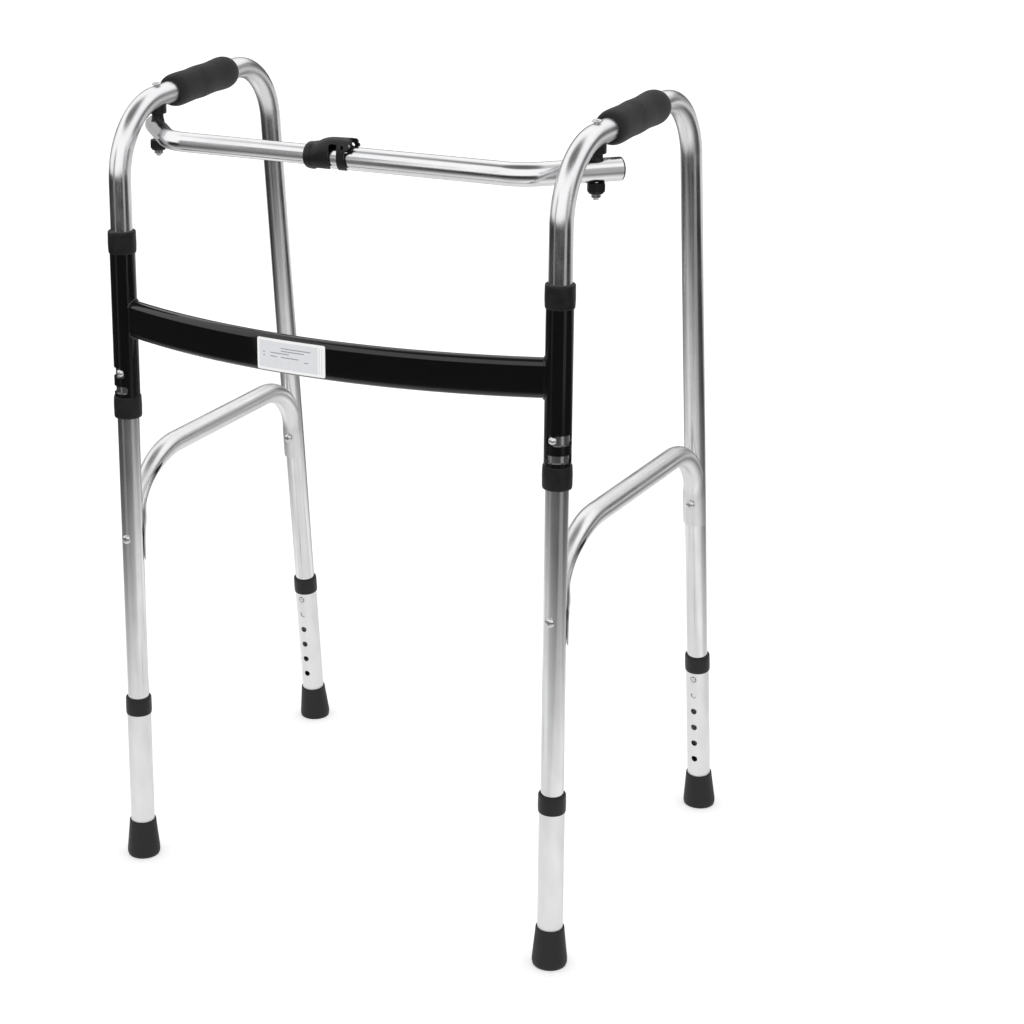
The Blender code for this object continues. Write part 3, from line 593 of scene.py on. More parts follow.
def zinc():
    """Zinc-plated steel, lighter and darker in cloudy patches."""
    shader = Shader("zinc_plate", (0.7, 0.7, 0.71), 0.25, 1.0)
    cloud = shader.noise(600, detail=4.0)
    shader.roughness(cloud, 0.16, 0.34)
    shader.colour(cloud, (0.6, 0.6, 0.62), (0.8, 0.8, 0.8))
    shader.bump(cloud, 0.08, 0.0001)
    return shader.mat


def foil(name, colour, roughness):
    """Printed foil label stock."""
    shader = Shader(name, colour, roughness)
    fibre = shader.noise(420, detail=4.0)
    shader.roughness(fibre, roughness - 0.06, roughness + 0.06)
    dull = tuple(c * 0.95 for c in colour)
    shader.colour(fibre, colour, dull)
    shader.bump(fibre, 0.05, 0.0001)
    return shader.mat


POLISHED = (0.83, 0.83, 0.84)

# Looks: a slot's name and what fills it
BRIGHT = "bright_aluminium", drawn_tube("bright_aluminium", POLISHED, 0.17, 0.06, 0.14)
BENT = "bright_aluminium", drawn_tube("bent_aluminium", POLISHED, 0.17, 0.06, 0.14,
                                      bent_above=HANDLE_Z - FRONT_BEND)
SATIN = "satin_aluminium", drawn_tube("satin_aluminium", (0.86, 0.86, 0.86), 0.3, 0.08,
                                      0.12)
FROSTED = "frosted_aluminium", drawn_tube("frosted_aluminium", (0.92, 0.92, 0.92), 0.46,
                                          0.08, 0.22)
PAINT = "black_steel", gloss_paint()
PLASTIC = "black_plastic", moulded_plastic()
FOAM = "black_foam", foam()
RUBBER = "black_rubber", rubber()
ZINC = "zinc_steel", zinc()
LABEL_EDGE = "label_foil", foil("label_border", (0.86, 0.86, 0.86), 0.35)
LABEL_PANEL = "label_foil", foil("label_panel", (0.68, 0.69, 0.71), 0.3)
LABEL_INK = "label_foil", foil("label_ink", (0.22, 0.23, 0.25), 0.45)


# ---- H-frame

def bow_point(x, out=0.0):
    """A point of the bow's centre line, moved out along its front normal."""
    angle = asin(x / BOW_RADIUS)
    radius = BOW_RADIUS + out
    return Vector((radius * sin(angle),
                   BOW_RADIUS - BOW_SAG - radius * cos(angle)))


def oval(height, depth, edge, steps=6):
    """Flat-sided rounded section: points (depth, height)."""
    outline = []
    for x, y, start in ((1, 1, 0), (-1, 1, 90), (-1, -1, 180), (1, -1, 270)):
        outline += arc(edge, start, start + 90, steps, x * (depth / 2 - edge),
                       y * (height / 2 - edge))
    return outline


def bow_mesh(half_chord, steps=60):
    section = oval(BOW_HEIGHT, BOW_DEPTH, 0.0076, 8)
    rings, along = [], []
    for i in range(steps + 1):
        x = half_chord * (2 * i / steps - 1)
        rings.append([Vector((*bow_point(x, out), z)) for out, z in section])
        along.append(BOW_RADIUS * asin(x / BOW_RADIUS))
    return loft(rings, along, 0.12)


def slot_cutter(side, z, half, start, end, count=24):
    """A ring sector with rounded ends, cut through one side of the sleeve."""
    inner, outer = SLEEVE_BORE - 0.001, SLEEVE_R + 0.003
    rings = []
    reach = degrees(half / SLEEVE_R)
    for i in range(count + 1):
        share = i / count
        angle = start + (end - start) * share
        near = min(angle - start, end - angle)
        height = half * sqrt(max(1 - max(1 - near / reach, 0) ** 2, 0.04))
        turn = radians(angle)
        ray = Vector((side * sin(turn), -cos(turn), 0))
        rings.append([ray * radius + Vector((0, 0, level))
                      for radius, level in ((inner, z - height), (outer, z - height),
                                            (outer, z + height), (inner, z + height))])
    return loft(rings, [0.001 * i for i in range(count + 1)], 0.04)


def weld_bead(side):
    """A bead round the joint of bow and sleeve, with the ripples of a weld."""
    section = oval(BOW_HEIGHT + 0.0012, BOW_DEPTH + 0.001, 0.008, 10)
    points = []
    for depth, z in section:
        reach = sqrt(max(SLEEVE_R ** 2 - depth ** 2, 0)) + 0.0002
        points.append(Vector((-side * reach, -depth * 0.98, z)))
    ripple = [1 + 0.16 * sin(i * 2.1) for i in range(len(points))]
    rings = []
    for i, point in enumerate(points):
        before, after = points[i - 1], points[(i + 1) % len(points)]
        tangent = (after - before).normalized()
        side_axis = tangent.cross(Vector((side, 0, 0))).normalized()
        up_axis = tangent.cross(side_axis)
        rings.append([point + (side_axis * p.x + up_axis * p.y) * ripple[i]
                      for p in circle(0.0017, 12)])
    return loft(rings, [0.002 * i for i in range(len(rings) + 1)], 0.01, ends="join")


def build_h_frame():
    mesh = bow_mesh(HALF_WIDTH - 0.004)
    solid, hollow, slots = [], [], []
    for side, label in SIDE_NAMES:
        place = Matrix.Translation((side * HALF_WIDTH, 0, -BOW_Z))
        solid.append(moved(cylinder(SLEEVE_R, SLEEVE_LOW, SLEEVE_HIGH, 72), place))
        hollow.append(moved(cylinder(SLEEVE_BORE, SLEEVE_LOW - 0.01, SLEEVE_HIGH + 0.01),
                            place))
        for z, half, start, end in ((FOLD_SLOT_Z, FOLD_SLOT_HALF, -28, 118),
                                    (STEP_SLOT_Z, STEP_SLOT_HALF, -38, 110)):
            slots.append(moved(slot_cutter(side, z, half, start, end), place))
    mesh = joined(mesh, solid, "UNION")
    mesh = joined(mesh, hollow + slots)
    piece("h_frame", mesh, "h_frame", PAINT, BOW_PLACE, nodes=["front_h_frame"])
    for side, label in SIDE_NAMES:
        piece("weld_" + label, weld_bead(side), "h_frame", PAINT,
              Matrix.Translation((side * HALF_WIDTH, FRONT_Y, BOW_Z)), sharp=80, nodes=[])


def build_sleeve_collars():
    """Barrel-shaped bushes with a rounded mouth and a shadow line under the rim."""
    skirt = -0.0213
    outer = smooth_curve([(0.0152, 0.0044), (0.0161, 0.003), (0.0163, -0.004),
                          (0.0164, -0.011), (0.016, skirt + 0.0012), (0.0154, skirt)], 5)
    profile = [(0.013, 0.0003), (0.013, 0.0034), (0.0134, 0.0043), (0.0142, 0.0045)]
    profile += outer + [(SLEEVE_R + 0.0001, skirt), (SLEEVE_R + 0.0001, 0.0003)]
    for side, label in SIDE_NAMES:
        for end, z, turn in (("top", SLEEVE_HIGH, 0), ("bottom", SLEEVE_LOW, pi)):
            place = (Matrix.Translation((side * HALF_WIDTH, FRONT_Y, z))
                     @ Matrix.Rotation(turn, 4, "X"))
            bush = turned(profile, ring=True)
            piece(f"sleeve_collar_{end}_{label}", bush, "h_frame", PLASTIC, place, sharp=50)


def curved_plate(low, high, height, inner, outer, edge, centre_z=0.0, steps=24):
    """A plate bent to the bow's front, with rounded corners and a softened rim."""
    reach = [edge * (1 - cos(radians(15 * i))) for i in range(1, 7)]
    places = [low + d for d in reach] + [high - d for d in reversed(reach)]
    span = places[6] - places[5]
    places[6:6] = [places[5] + span * i / steps for i in range(1, steps)]
    rim = min((outer - inner) * 0.4, 0.0002)
    rings = []
    for x in places:
        depth = max(edge - min(x - low, high - x), 0)
        half = height / 2 - edge + sqrt(max(edge ** 2 - depth ** 2, 0))
        section = ((inner, -half), (outer - rim, -half), (outer, rim - half),
                   (outer, half - rim), (outer - rim, half), (inner, half))
        rings.append([Vector((*bow_point(x, out), z + centre_z)) for out, z in section])
    return loft(rings, places, 0.08)


def build_label():
    """A blank plate: white border, pale panel and thin ruled lines, no lettering."""
    place = BOW_PLACE
    front = BOW_DEPTH / 2
    low, high, height = -0.0595, 0.0255, 0.036
    width = high - low
    plate = curved_plate(low, high, height, front + 0.0001, front + 0.0008,
                         0.002)
    piece("label_plate", plate, "h_frame", LABEL_EDGE, place)
    panel = curved_plate(low + 0.003, high - 0.009, height - 0.006,
                         front + 0.0006, front + 0.001, 0.001)
    piece("label_panel", panel, "h_frame", LABEL_PANEL, place, nodes=[])
    marks = [(0.36, 0.8, 0.0085), (0.36, 0.7, 0.0055), (0.2, 0.48, 0.0025),
             (0.2, 0.3, -0.0015), (0.36, 0.62, -0.0015), (0.09, 0.12, 0.0025),
             (0.09, 0.12, -0.0015), (0.7, 0.76, -0.004)]
    for i, (start, end, z) in enumerate(marks):
        line = curved_plate(low + width * start, low + width * end, 0.0009,
                            front + 0.0009, front + 0.0011, 0.0002, z, 8)
        piece(f"label_rule_{i}", line, "h_frame", LABEL_INK, place, nodes=[])
    for i, share in enumerate((0.915, 0.95)):
        x = low + width * share
        line = curved_plate(x, x + 0.0007, height - 0.007, front + 0.0007,
                            front + 0.001, 0.0001, 0.0, 2)
        piece(f"label_line_{i}", line, "h_frame", LABEL_PANEL, place, nodes=[])


# ---- side frames

def side_route():
    corners = [(0, 0, LEG_END_Z), (0, 0, HANDLE_Z), handle_corner(), rear_leg(LEG_END_Z)]
    return filleted(corners, [FRONT_BEND, REAR_BEND], steps=28)


def build_side_tube(label, place):
    mesh = tube(side_route(), TUBE_R, TUBE_R - TUBE_WALL)
    cutters = [moved(cylinder(FOLD_HOLE_R, 0.005, 0.02, 32),
                     to_axis((0, -1, 0), (0, 0, FOLD_SLOT_Z)))]
    for leg, way in LEGS:
        spot = leg_place(leg) @ to_axis((0, way, 0), (0, 0, hole_height(leg)))
        cutters.append(moved(cylinder(HOLE_R, 0.005, 0.02, 32), spot))
    piece("side_tube_" + label, joined(mesh, cutters), label + "_side", BENT, place)


def brace_route(extend=0.0):
    corners = [(0, 0, BRACE_FRONT_END_Z - extend), (0, 0, BRACE_Z),
               (0, rear_leg(BRACE_Z)[1], BRACE_Z), rear_leg(BRACE_REAR_END_Z - extend)]
    return filleted(corners, [BRACE_FRONT_BEND, BRACE_REAR_BEND], steps=26)


def eased(value, start, span):
    """0 at the start and 1 after the span, with soft ends."""
    share = min(max((value - start) / span, 0), 1)
    return share * share * (3 - 2 * share)


def brace_scales(points, radius, end_radius):
    """Opened out down both ends, and pinched in the front bend before it opens."""
    scales = []
    for point in points:
        fall = BRACE_Z - point.z
        drop = eased(fall, 0.043, 0.03)
        scale = 1 + (end_radius / radius - 1) * drop
        if point.y < BRACE_FRONT_BEND:
            scale -= (1 - BRACE_NECK) * eased(fall, 0.001, 0.03) * (1 - drop)
        scales.append(scale)
    return scales


def notch_outline(count=28):
    """Lens-shaped slit through the sides of the brace's pinched front bend."""
    centre = Vector((BRACE_FRONT_BEND, BRACE_Z - BRACE_FRONT_BEND))
    near, far = [], []
    for i in range(count + 1):
        share = i / count
        angle = radians(178 - 60 * share)
        half = 0.0003 + 0.0042 * sqrt(max(sin(pi * share), 0))
        ray = Vector((cos(angle), sin(angle)))
        near.append(centre + ray * (BRACE_FRONT_BEND - half))
        far.append(centre + ray * (BRACE_FRONT_BEND + half))
    return [(p.x, p.y) for p in near + far[::-1]]


def build_brace(label, place):
    route = brace_route()
    inner_r = TUBE_R - TUBE_WALL
    mesh = tube(route, TUBE_R, None, brace_scales(route, TUBE_R, BRACE_END_R))
    inside = brace_route(0.01)
    core = tube(inside, inner_r, None,
                brace_scales(inside, inner_r, BRACE_END_R - TUBE_WALL))
    cutters = [core]
    for leg, low, face, far in (("front", BRACE_FRONT_END_Z, 0.005, -0.04),
                                ("rear", BRACE_REAR_END_Z, -0.005, 0.04)):
        at = leg_place(leg)
        cutters.append(moved(cylinder(TUBE_R + 0.0002, low - 0.02, 0.54), at))
        open_side = block((-REACH, min(face, far), low - 0.02), (REACH, max(face, far), 0.54))
        cutters.append(moved(open_side, at))
    cutters.append(moved(prism(notch_outline(), -0.02, 0.02), LENGTHWISE))
    for cutter in cutters:
        mesh = joined(mesh, [cutter], sharp=25)
    piece("side_brace_" + label, mesh, label + "_side", SATIN, place, sharp=25)


def cross_recess(radius, depth, top):
    """A cutter shaped like a cross recess, tapering into a screw head."""
    arm, thick = radius, radius * 0.26
    outline = []
    for quarter in range(4):
        turn = pi / 2 * quarter
        for x, y in ((thick, thick), (arm, thick), (arm, -thick)):
            outline.append((x * cos(-turn) - y * sin(-turn),
                            x * sin(-turn) + y * cos(-turn)))
    low = [Vector((x * 0.45, y * 0.45, top - depth)) for x, y in outline]
    high = [Vector((x, y, top + 0.001)) for x, y in outline]
    return loft([low, high], [0, depth], 0.02)


def pan_head(radius, height, base, shank, tip):
    """Screw profile from the crown down, as a solid turned about Z."""
    crown = [(radius * sin(a), base + height * (0.3 + 0.7 * cos(a)))
             for a in [radians(8 * i) for i in range(1, 11)]]
    return ([(0, base + height)] + crown
            + [(radius, base + height * 0.3), (radius, base), (shank, base), (shank, tip),
               (0, tip)])


def build_screws(label, place):
    seats = {"front": (TUBE_R, BRACE_END_R + 0.0012),
             "rear": (BRACE_END_R + 0.001, TUBE_R + 0.0006)}
    points = {"front": (0, 0, FRONT_SCREW_Z), "rear": rear_leg(REAR_SCREW_Z)}
    for leg, (seat, nut_seat) in seats.items():
        at = place @ to_axis((0, -1, 0), points[leg])
        profile = pan_head(0.0054, 0.0033, seat + 0.0001, 0.0022, -(nut_seat + 0.0062))
        mesh = turned(profile, 32)
        mesh = joined(mesh, [cross_recess(0.0026, 0.0018, seat + 0.0034)])
        piece(f"brace_screw_{leg}_{label}", mesh, label + "_side", ZINC, at)
        nut = hex_nut(0.0046, 0.0024, -nut_seat - 0.005, -nut_seat - 0.0001)
        piece(f"brace_nut_{leg}_{label}", nut, label + "_side", ZINC, at)


def hex_nut(radius, bore, low, high, taper=0.0006):
    """A nut with chamfered corners at both ends."""
    outline = [(radius * cos(pi / 3 * i), radius * sin(pi / 3 * i))
               for i in range(6)]
    mesh = prism(outline, low, high)
    flat = radius * cos(pi / 6)
    shape = [(0, high), (flat, high), (radius + 0.0002, high - taper),
             (radius + 0.0002, low + taper), (flat, low), (0, low)]
    mesh = joined(mesh, [turned(shape, 48)], "INTERSECT")
    return joined(mesh, [cylinder(bore, low - 0.001, high + 0.001, 32)])


def build_grip(label, place):
    """Foam grip: a waist in the hand and a bulge with soft rounded lips at each end."""
    length = (GRIP_END - GRIP_START) / cos(atan(HANDLE_SLOPE))
    knots = [(0.0132, 0.0002), (0.0158, 0.0004), (0.0181, 0.004), (0.0194, 0.012),
             (0.0192, 0.028), (0.0188, 0.044), (0.0194, 0.062), (0.0187, 0.088),
             (0.0198, 0.113), (0.019, 0.123), (0.0168, length - 0.0006),
             (0.0132, length - 0.0001)]
    profile = smooth_curve(knots, 8)[::-1]
    profile += [(TUBE_R + 0.0001, 0.0003), (TUBE_R + 0.0001, length - 0.0003)]
    at = place @ to_axis((0, 1, HANDLE_SLOPE),
                         (0, GRIP_START, HANDLE_Z + HANDLE_SLOPE * GRIP_START))
    mesh = turned(profile, 72, ring=True)
    obj = piece("grip_" + label, mesh, label + "_side", FOAM, at, sharp=70)


def button_mesh(reach, radius, base):
    """A pressed-steel button with a domed top."""
    dome = [(radius * sin(a), reach - radius * 0.75 * (1 - cos(a)))
            for a in [radians(9 * i) for i in range(1, 11)]]
    profile = [(0, reach)] + dome + [(radius, base), (0, base)]
    return turned(profile, 32)


def clip_mesh(reach, radius, near, press):
    """Leaf spring bent in a V, with its button."""
    blade, tail, apex = 0.001, 0.008, 0.036
    far = near - press
    outline = [(-tail, near), (tail, near), (apex, 0.0006), (apex, -0.0006), (tail, -far),
               (-tail, -far), (-tail, -far + blade), (tail - 0.001, -far + blade),
               (apex - 0.004, 0), (tail - 0.001, near - blade), (-tail, near - blade)]
    mesh = prism(rounded(outline, 0.0008, 3), -0.0042, 0.0042)
    mesh.transform(LENGTHWISE)
    return joined(mesh, [button_mesh(reach, radius, near - blade / 2)], "UNION")


def build_clips(label, place):
    near = TUBE_R - TUBE_WALL - SPRING_ROOM
    fold = clip_mesh(SLEEVE_R + 0.0016, FOLD_BUTTON_R, near, BUTTON_PRESS)
    at = place @ Matrix.Translation((0, 0, FOLD_SLOT_Z)) @ facing((0, -1, 0))
    piece("fold_clip_" + label, fold, "fold_button_" + label, ZINC, at)
    for leg, way in LEGS:
        snap = clip_mesh(EXT_R + 0.0018, BUTTON_R, near, BUTTON_PRESS)
        at = (place @ leg_place(leg) @ Matrix.Translation((0, 0, hole_height(leg)))
              @ facing((0, way, 0)))
        piece(f"snap_clip_{leg}_{label}", snap, f"snap_button_{leg}_{label}", ZINC, at)


# ---- leg extensions

def build_extension(label, place, leg, way):
    at = place @ leg_place(leg)
    body = f"leg_{leg}_{label}"
    top = EXT_COLLAR_TOP[leg]
    end = top - EXT_COLLAR_LIP
    route = [Vector((0, 0, EXT_LOW + (end - EXT_LOW) * i / 8)) for i in range(9)]
    mesh = tube(route, EXT_R, EXT_BORE)
    holes = []
    for i in range(HOLE_COUNT):
        spot = to_axis((0, way, 0), (0, 0, hole_height(leg, i)))
        holes.append(moved(cylinder(HOLE_R, 0.005, 0.02, 32), spot))
    piece(f"extension_{leg}_{label}", joined(mesh, holes), body, FROSTED, at)

    low = top - EXT_COLLAR_HEIGHT
    outer = smooth_curve([(0.0146, top - 0.0002), (0.0153, top - 0.0012),
                          (0.0155, top - 0.005), (0.0156, low + 0.006),
                          (0.0154, low + 0.001), (0.015, low)], 5)
    profile = [(0.0129, end + GAP), (0.0129, top - 0.0008), (0.0134, top)]
    profile += outer + [(EXT_R + 0.0001, low), (EXT_R + 0.0001, end + GAP)]
    name = f"extension_collar_{leg}_{label}"
    piece(name, turned(profile, ring=True), body, PLASTIC, at, sharp=50)
    build_foot(label, at, leg, body)


def build_foot(label, at, leg, body):
    """Flared rubber ferrule with a rim at its mouth, flat on the floor."""
    base = -0.004 if leg == "rear" else 0.0      # the rear foot is cut level below
    knots = [(0.015, FOOT_HEIGHT - 0.0001), (0.016, FOOT_HEIGHT - 0.0007),
             (0.0163, FOOT_HEIGHT - 0.0024), (0.0165, FOOT_HEIGHT - 0.005),
             (0.0178, 0.028), (0.0193, 0.013), (0.0199, 0.007), (0.0199, 0.003),
             (0.0192, 0.0006)]
    profile = [(EXT_R + 0.0001, 0.014), (EXT_R + 0.0001, FOOT_HEIGHT - 0.0004)]
    profile += smooth_curve(knots, 5)
    profile += [(0.019, base), (0, base), (0, 0.0122), (EXT_R + 0.0001, 0.0122)]
    mesh = turned(profile, 64, ring=True)
    mesh.transform(at)
    if leg == "rear":
        mesh = joined(mesh, [block((-0.5, -0.5, -0.05), (0.5, 0.5, 0.0))])
    piece(f"foot_{leg}_{label}", mesh, body, RUBBER, sharp=45)


# ---- crossbar

def bar_route(side, inner_end):
    bolt = bolt_point(side) - Vector((0, FRONT_Y, BAR_Z))
    bend = Vector((side * BAR_BEND_X, BAR_Y, 0))
    out = (bolt - bend).normalized()
    start = Vector((inner_end, BAR_Y, 0))
    return filleted([start, bend, bolt + out * BAR_TAIL], [BAR_BEND], steps=20)


# The radius and inner end of the bar on each side
BAR_SIZES = {1: (BAR_OUTER_R, BAR_OUTER_END), -1: (BAR_INNER_R, BAR_INNER_END)}


def build_bar(side, label):
    radius, inner_end = BAR_SIZES[side]
    route = bar_route(side, inner_end)
    mesh = tube(route, radius, radius - BAR_WALL)
    hole = moved(cylinder(LOCK_HOLE_R, 0.004, 0.02, 32),
                 Matrix.Translation((BAR_BUTTON_X, BAR_Y, 0)))
    piece("cross_tube_" + label, joined(mesh, [hole]), label + "_bar", BRIGHT, BAR_PLACE)
    spigot = radius - BAR_WALL - GAP
    profile = [(0, 0.001), (spigot - 0.003, 0.001), (spigot - 0.002, 0.0015),
               (radius - 0.0008, 0.0015), (radius - 0.0001, 0.0009), (radius - 0.0001, 0.0001),
               (spigot, 0.0001), (spigot, -0.01), (0, -0.01)]
    at = BAR_PLACE @ to_axis(route[-1] - route[-2], route[-1])
    plug = turned(profile)
    piece("bar_plug_" + label, plug, label + "_bar", PLASTIC, at)


def build_pivot(side, label, place):
    """Bolt from the handle's top down through both saddles, the bar and the cap."""
    at = Matrix.Translation(bolt_point(side))
    radius, inner_end = BAR_SIZES[side]
    body = label + "_side"
    head = HANDLE_Z + HANDLE_SLOPE * BOLT_Y - BAR_Z + TUBE_R + 0.0012
    profile = pan_head(0.0054, 0.003, head, 0.003, -0.031)[:-2]
    for i in range(14):
        level = -0.025 - 0.0005 * i
        profile.append((0.003 if i % 2 else 0.0027, level))
    profile += [(0.0024, -0.0318), (0, -0.0318)]
    mesh = turned(profile, 40)
    mesh = joined(mesh, [cross_recess(0.0028, 0.0018, head + 0.0031)])
    piece("pivot_bolt_" + label, mesh, body, ZINC, at)

    middle = 0.0178
    outline = rounded([(0, 0.0322), (0.0104, 0.0322), (0.0104, middle + 0.0002),
                       (0, middle + 0.0002)], 0.0014, closed=False)
    upper = turned(outline)
    handle = tube(side_route(), TUBE_R + 0.0001)
    handle.transform(at.inverted() @ place)
    upper = joined(upper, [handle, cylinder(PIVOT_BORE, 0, 0.04, 32)])
    piece("upper_saddle_" + label, upper, body, PLASTIC, at)

    knots = [(0.0068, middle - 0.0003), (0.0067, 0.0154), (0.0069, 0.013), (0.0074, 0.0106),
             (0.0077, 0.009), (0.0078, 0.0032)]
    profile = [(0, middle), (0.0062, middle)] + smooth_curve(knots, 4) + [(0, 0.0032)]
    lower = turned(profile)
    bar = tube(bar_route(side, inner_end), radius + 0.0001)
    bar.transform(at.inverted() @ BAR_PLACE)
    lower = joined(lower, [bar, cylinder(PIVOT_BORE, 0, 0.04, 32)])
    piece("lower_saddle_" + label, lower, label + "_bar", PLASTIC, at)

    cap = hex_nut(0.0104, PIVOT_BORE, -0.0228, -BAR_OUTER_R - 0.0002, 0.001)
    skirt = turned([(0, -0.022), (0.0089, -0.022), (0.0086, -0.0234),
                             (0.0074, -0.0249), (0, -0.0249)])
    cap = joined(joined(cap, [skirt], "UNION"), [cylinder(PIVOT_BORE, -0.04, 0, 32)])
    piece("pivot_cap_" + label, cap, body, PLASTIC, at)
    nut = hex_nut(0.0056, 0.0031, -0.029, -0.0251)
    piece("pivot_nut_" + label, nut, body, ZINC, at)


def stadium(half_width, rise, steps=24):
    """Outline round the bar with its top lifted by a rise: points across and up."""
    return arc(half_width, 0, 180, steps, y=rise) + arc(half_width, 180, 360, steps)


def shroud(stations):
    rings = [[Vector((x, y, z)) for y, z in stadium(half, rise)] for x, half, rise in stations]
    return loft(rings, [x for x, half, rise in stations], 0.1)


def build_lock():
    """Collar on the outer tube's mouth, and the hooded lever over the snap button."""
    place = Matrix.Translation((0, FRONT_Y + BAR_Y, BAR_Z))
    along = place @ to_axis((1, 0, 0))
    profile = [(BAR_INNER_R + 0.0002, -0.029), (0.0151, -0.029)]
    profile += smooth_curve([(0.0152, -0.0292), (0.0152, -0.0325), (0.0148, -0.0355),
                             (0.0138, -0.0374), (0.0126, -0.038)], 6)
    profile += [(BAR_INNER_R + 0.0002, -0.038)]
    collar = turned(profile, ring=True)
    collar = joined(collar, [cylinder(BAR_OUTER_R + 0.0002, BAR_OUTER_END - 0.0002, 0.0)])
    piece("lock_collar", collar, "right_bar", PLASTIC, along, sharp=40)

    start, slot_start, slot_end, arm_end, hood_end = -0.0284, -0.0053, 0.005, 0.0152, 0.019
    rise = smooth_curve([(start, 0.0006), (-0.024, 0.0014), (-0.018, 0.0042),
                         (-0.012, 0.0058), (-0.006, 0.0066), (0.01, 0.0071),
                         (hood_end, 0.0076)], 6)
    lever = shroud([(x, 0.0152, z) for x, z in rise])
    inner = [(start - 0.01, 0.0134, 0.0), (start, 0.0134, 0.0)]
    inner += [(x, 0.0134, max(z - 0.0004, 0.0)) for x, z in rise[1:-1]]
    inner += [(hood_end + 0.01, 0.0134, 0.0074)]
    front = Matrix(((1, 0, 0, 0), (0, 0, -1, 0), (0, 1, 0, 0), (0, 0, 0, 1)))
    arch = rounded([(slot_start, 0.016), (slot_end, 0.016), (slot_end, -REACH),
                    (slot_start, -REACH)], 0.0022)
    slot = moved(prism(arch, -REACH, REACH), front)
    end_cut = rounded([(arm_end - 0.001, 0.006), (arm_end + 0.0008, 0.0106),
                       (hood_end - 0.0012, 0.0108), (hood_end - 0.0004, 0.0122),
                       (hood_end + 0.01, 0.0122), (hood_end + 0.01, -REACH),
                       (arm_end + 0.0022, -REACH), (arm_end, -0.008)], 0.0008)
    tail = moved(prism(end_cut, -REACH, REACH), front)
    belly = block((start - 0.01, -0.009, -REACH), (hood_end, 0.009, -0.005))
    mouth = block((hood_end - 0.0035, -0.006, 0.0), (hood_end + 0.01, 0.006, REACH))
    eye = moved(cylinder(0.0022, -REACH, REACH, 24), to_axis((0, 1, 0), (0.0112, 0, 0.0132)))
    bite = moved(cylinder(0.0012, -REACH, REACH, 24),
                 to_axis((0, 1, 0), (hood_end, 0, 0.0162)))
    lever = joined(lever, [shroud(inner), slot, tail, belly, mouth, eye, bite])
    nub = moved(cylinder(0.0022, BAR_OUTER_R + 0.0036, BAR_OUTER_R + 0.0088, 24),
                Matrix.Translation((BAR_BUTTON_X - 0.002, 0, 0)))
    lever = joined(lever, [nub], "UNION")
    piece("lock_lever", lever, "lock_lever", PLASTIC, place)

    clip = clip_mesh(BAR_OUTER_R + 0.003, BUTTON_R,
                     BAR_INNER_R - BAR_WALL - SPRING_ROOM, LOCK_PRESS)
    across = Matrix(((0, 1, 0, 0), (-1, 0, 0, 0), (0, 0, 1, 0), (0, 0, 0, 1)))
    at = place @ Matrix.Translation((BAR_BUTTON_X, 0, 0)) @ across
    piece("bar_clip", clip, "bar_button", ZINC, at)


# ---- studio

def stage_plane(name, centre, size, mat, seen_by):
    """A flat stage card lying in XY, seen only by the named kinds of ray."""
    x, y = size[0] / 2, size[1] / 2
    mesh = bpy.data.meshes.new(name)
    mesh.from_pydata([(-x, -y, 0), (x, -y, 0), (x, y, 0), (-x, y, 0)], [], [(0, 1, 2, 3)])
    mesh.materials.append(mat)
    obj = in_scene(name, mesh)
    obj.location = centre
    for kind in ("camera", "diffuse", "glossy", "shadow"):
        setattr(obj, "visible_" + kind, kind in seen_by)
    return obj


def floor_material():
    """Pale matte floor with a little light of its own, as an overlit sweep has."""
    shader = Shader("studio_floor", (0.9, 0.9, 0.9), 0.9)
    shader.set(Specular_IOR_Level=0.1, Emission_Color=(1, 1, 1, 1),
                 Emission_Strength=FLOOR_GLOW)
    return shader.mat


def glow_material(name, strength):
    shader = Shader(name)
    shader.set(Emission_Color=(1, 1, 1, 1), Emission_Strength=strength)
    return shader.mat


def shown(shader, surface):
    """Puts other nodes in the place of the principled shader."""
    shader.nodes.remove(shader.base)
    shader.put(shader.nodes["Material Output"], [("Surface", surface)])
    return shader.mat


def pool_material():
    """What polished metal sees of the floor: bright near the frame and far behind it,
    dark far away on the other sides."""
    shader = Shader("floor_reflection")
    place = shader.add("ShaderNodeTexCoord")["Object"]
    far = shader.add("ShaderNodeVectorMath", [(0, place)], operation="LENGTH")["Value"]
    pool = shader.ramp(shader.math("DIVIDE", far, POOL_REACH), POOL)
    behind = shader.ranged(shader.split(place)["Y"], 0.0, BEHIND_GLOW, BEHIND_START,
                           BEHIND_END)
    light = shader.math("MAXIMUM", pool, behind)
    return shown(shader, shader.add("ShaderNodeEmission", [("Color", light)])["Emission"])


def added_glow_material(name, strength):
    """Light added to whatever lies behind the card."""
    shader = Shader(name)
    clear = shader.add("ShaderNodeBsdfTransparent")["BSDF"]
    glow = shader.add("ShaderNodeEmission", [("Strength", strength)])["Emission"]
    return shown(shader, shader.add("ShaderNodeAddShader", [(0, clear), (1, glow)])["Shader"])


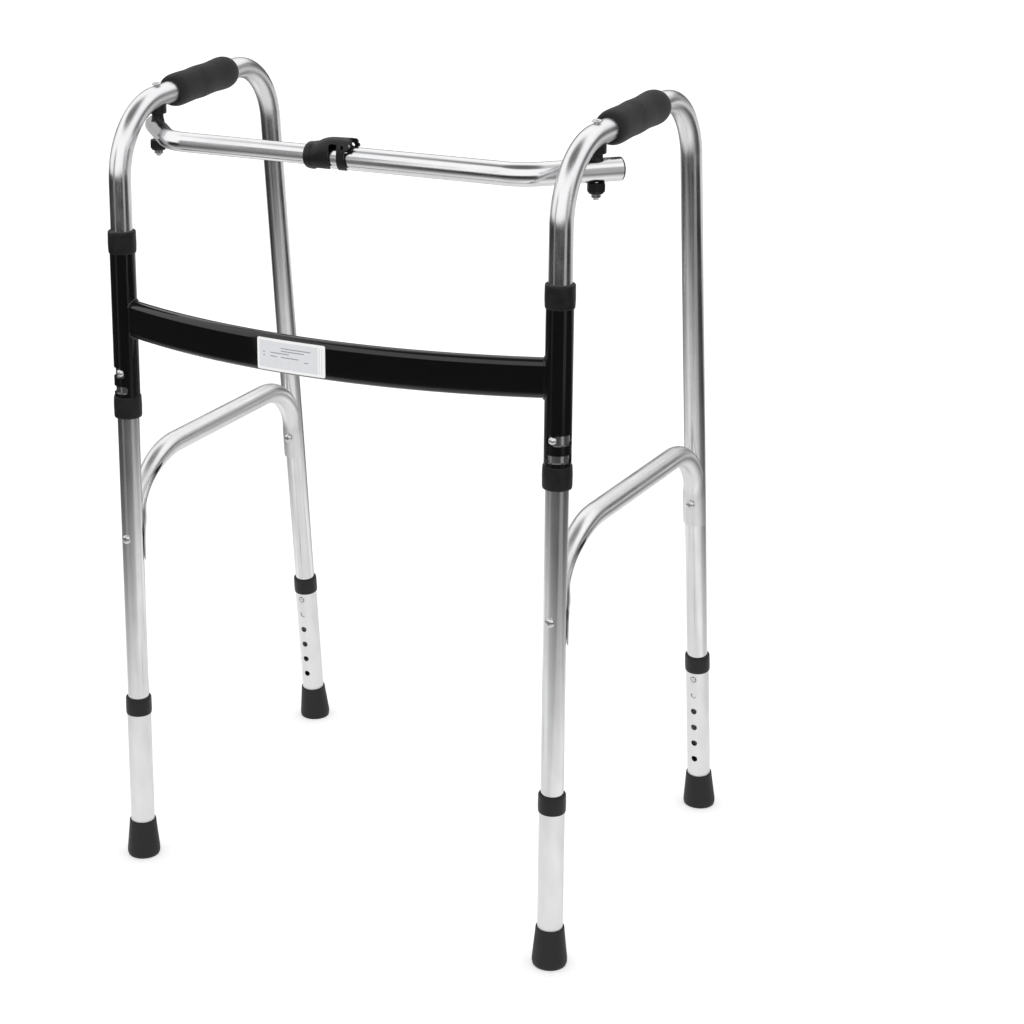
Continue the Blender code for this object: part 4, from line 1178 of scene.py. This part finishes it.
def build_sky():
    """A studio dome with a dark ceiling: white from the floor up in front of the frame,
    white only above a dark skirting behind it."""
    world = bpy.data.worlds.new("studio")
    world.use_nodes = True
    sky = Graph(world.node_tree)
    ray = sky.split(sky.add("ShaderNodeTexCoord")["Generated"])
    front, back = [sky.ramp(ray["Z"], stops) for stops in (FRONT_SKY, BACK_SKY)]
    share = sky.ranged(ray["Y"], 0.0, 1.0, -0.1, 0.3)
    sky.put(sky.nodes["Background"], [("Color", sky.mix(share, front, back)),
                                      ("Strength", SKY_STRENGTH)])
    bpy.context.scene.world = world


def build_studio():
    stage_plane("floor", (0, 0, -0.0005), (60, 60), floor_material(),
                ("camera", "diffuse", "shadow"))
    stage_plane("floor_reflection", (0, 0, -0.0003), (30, 30), pool_material(),
                ("glossy",))
    for i, (azimuth, width, strength) in enumerate(STRIPS):
        turn = radians(azimuth)
        spot = Vector((sin(turn), -cos(turn), 0)) * STRIP_DISTANCE
        card = stage_plane(f"strip_{i}", spot + Vector((0, 0, 1.0)), (width, 2.0),
                           glow_material(f"strip_{i}", strength), ("glossy",))
        card.rotation_euler = (pi / 2, 0, turn)
        card = stage_plane(f"spill_{i}", spot * 0.6, (width, STRIP_DISTANCE * 0.8),
                           added_glow_material(f"spill_{i}", strength * SPILL), ("glossy",))
        card.rotation_euler = (0, 0, turn)
    build_sky()
    bpy.context.scene.view_settings.view_transform = "Standard"


def build_camera():
    data = bpy.data.cameras.new("camera")
    data.lens = LENS
    data.shift_x, data.shift_y = SHIFT
    obj = in_scene("camera", data)
    obj.location = CAMERA_POINT
    obj.rotation_euler = (radians(90 - CAMERA_DOWN), 0, radians(CAMERA_TURN))
    bpy.context.scene.camera = obj


build_camera()
build_studio()
build_h_frame()
build_sleeve_collars()
build_label()
for side, label in SIDE_NAMES:
    place = side_place(side)
    build_side_tube(label, place)
    build_brace(label, place)
    build_screws(label, place)
    build_grip(label, place)
    build_clips(label, place)
    for leg, way in LEGS:
        build_extension(label, place, leg, way)
    build_bar(side, label)
    build_pivot(side, label, place)
build_lock()
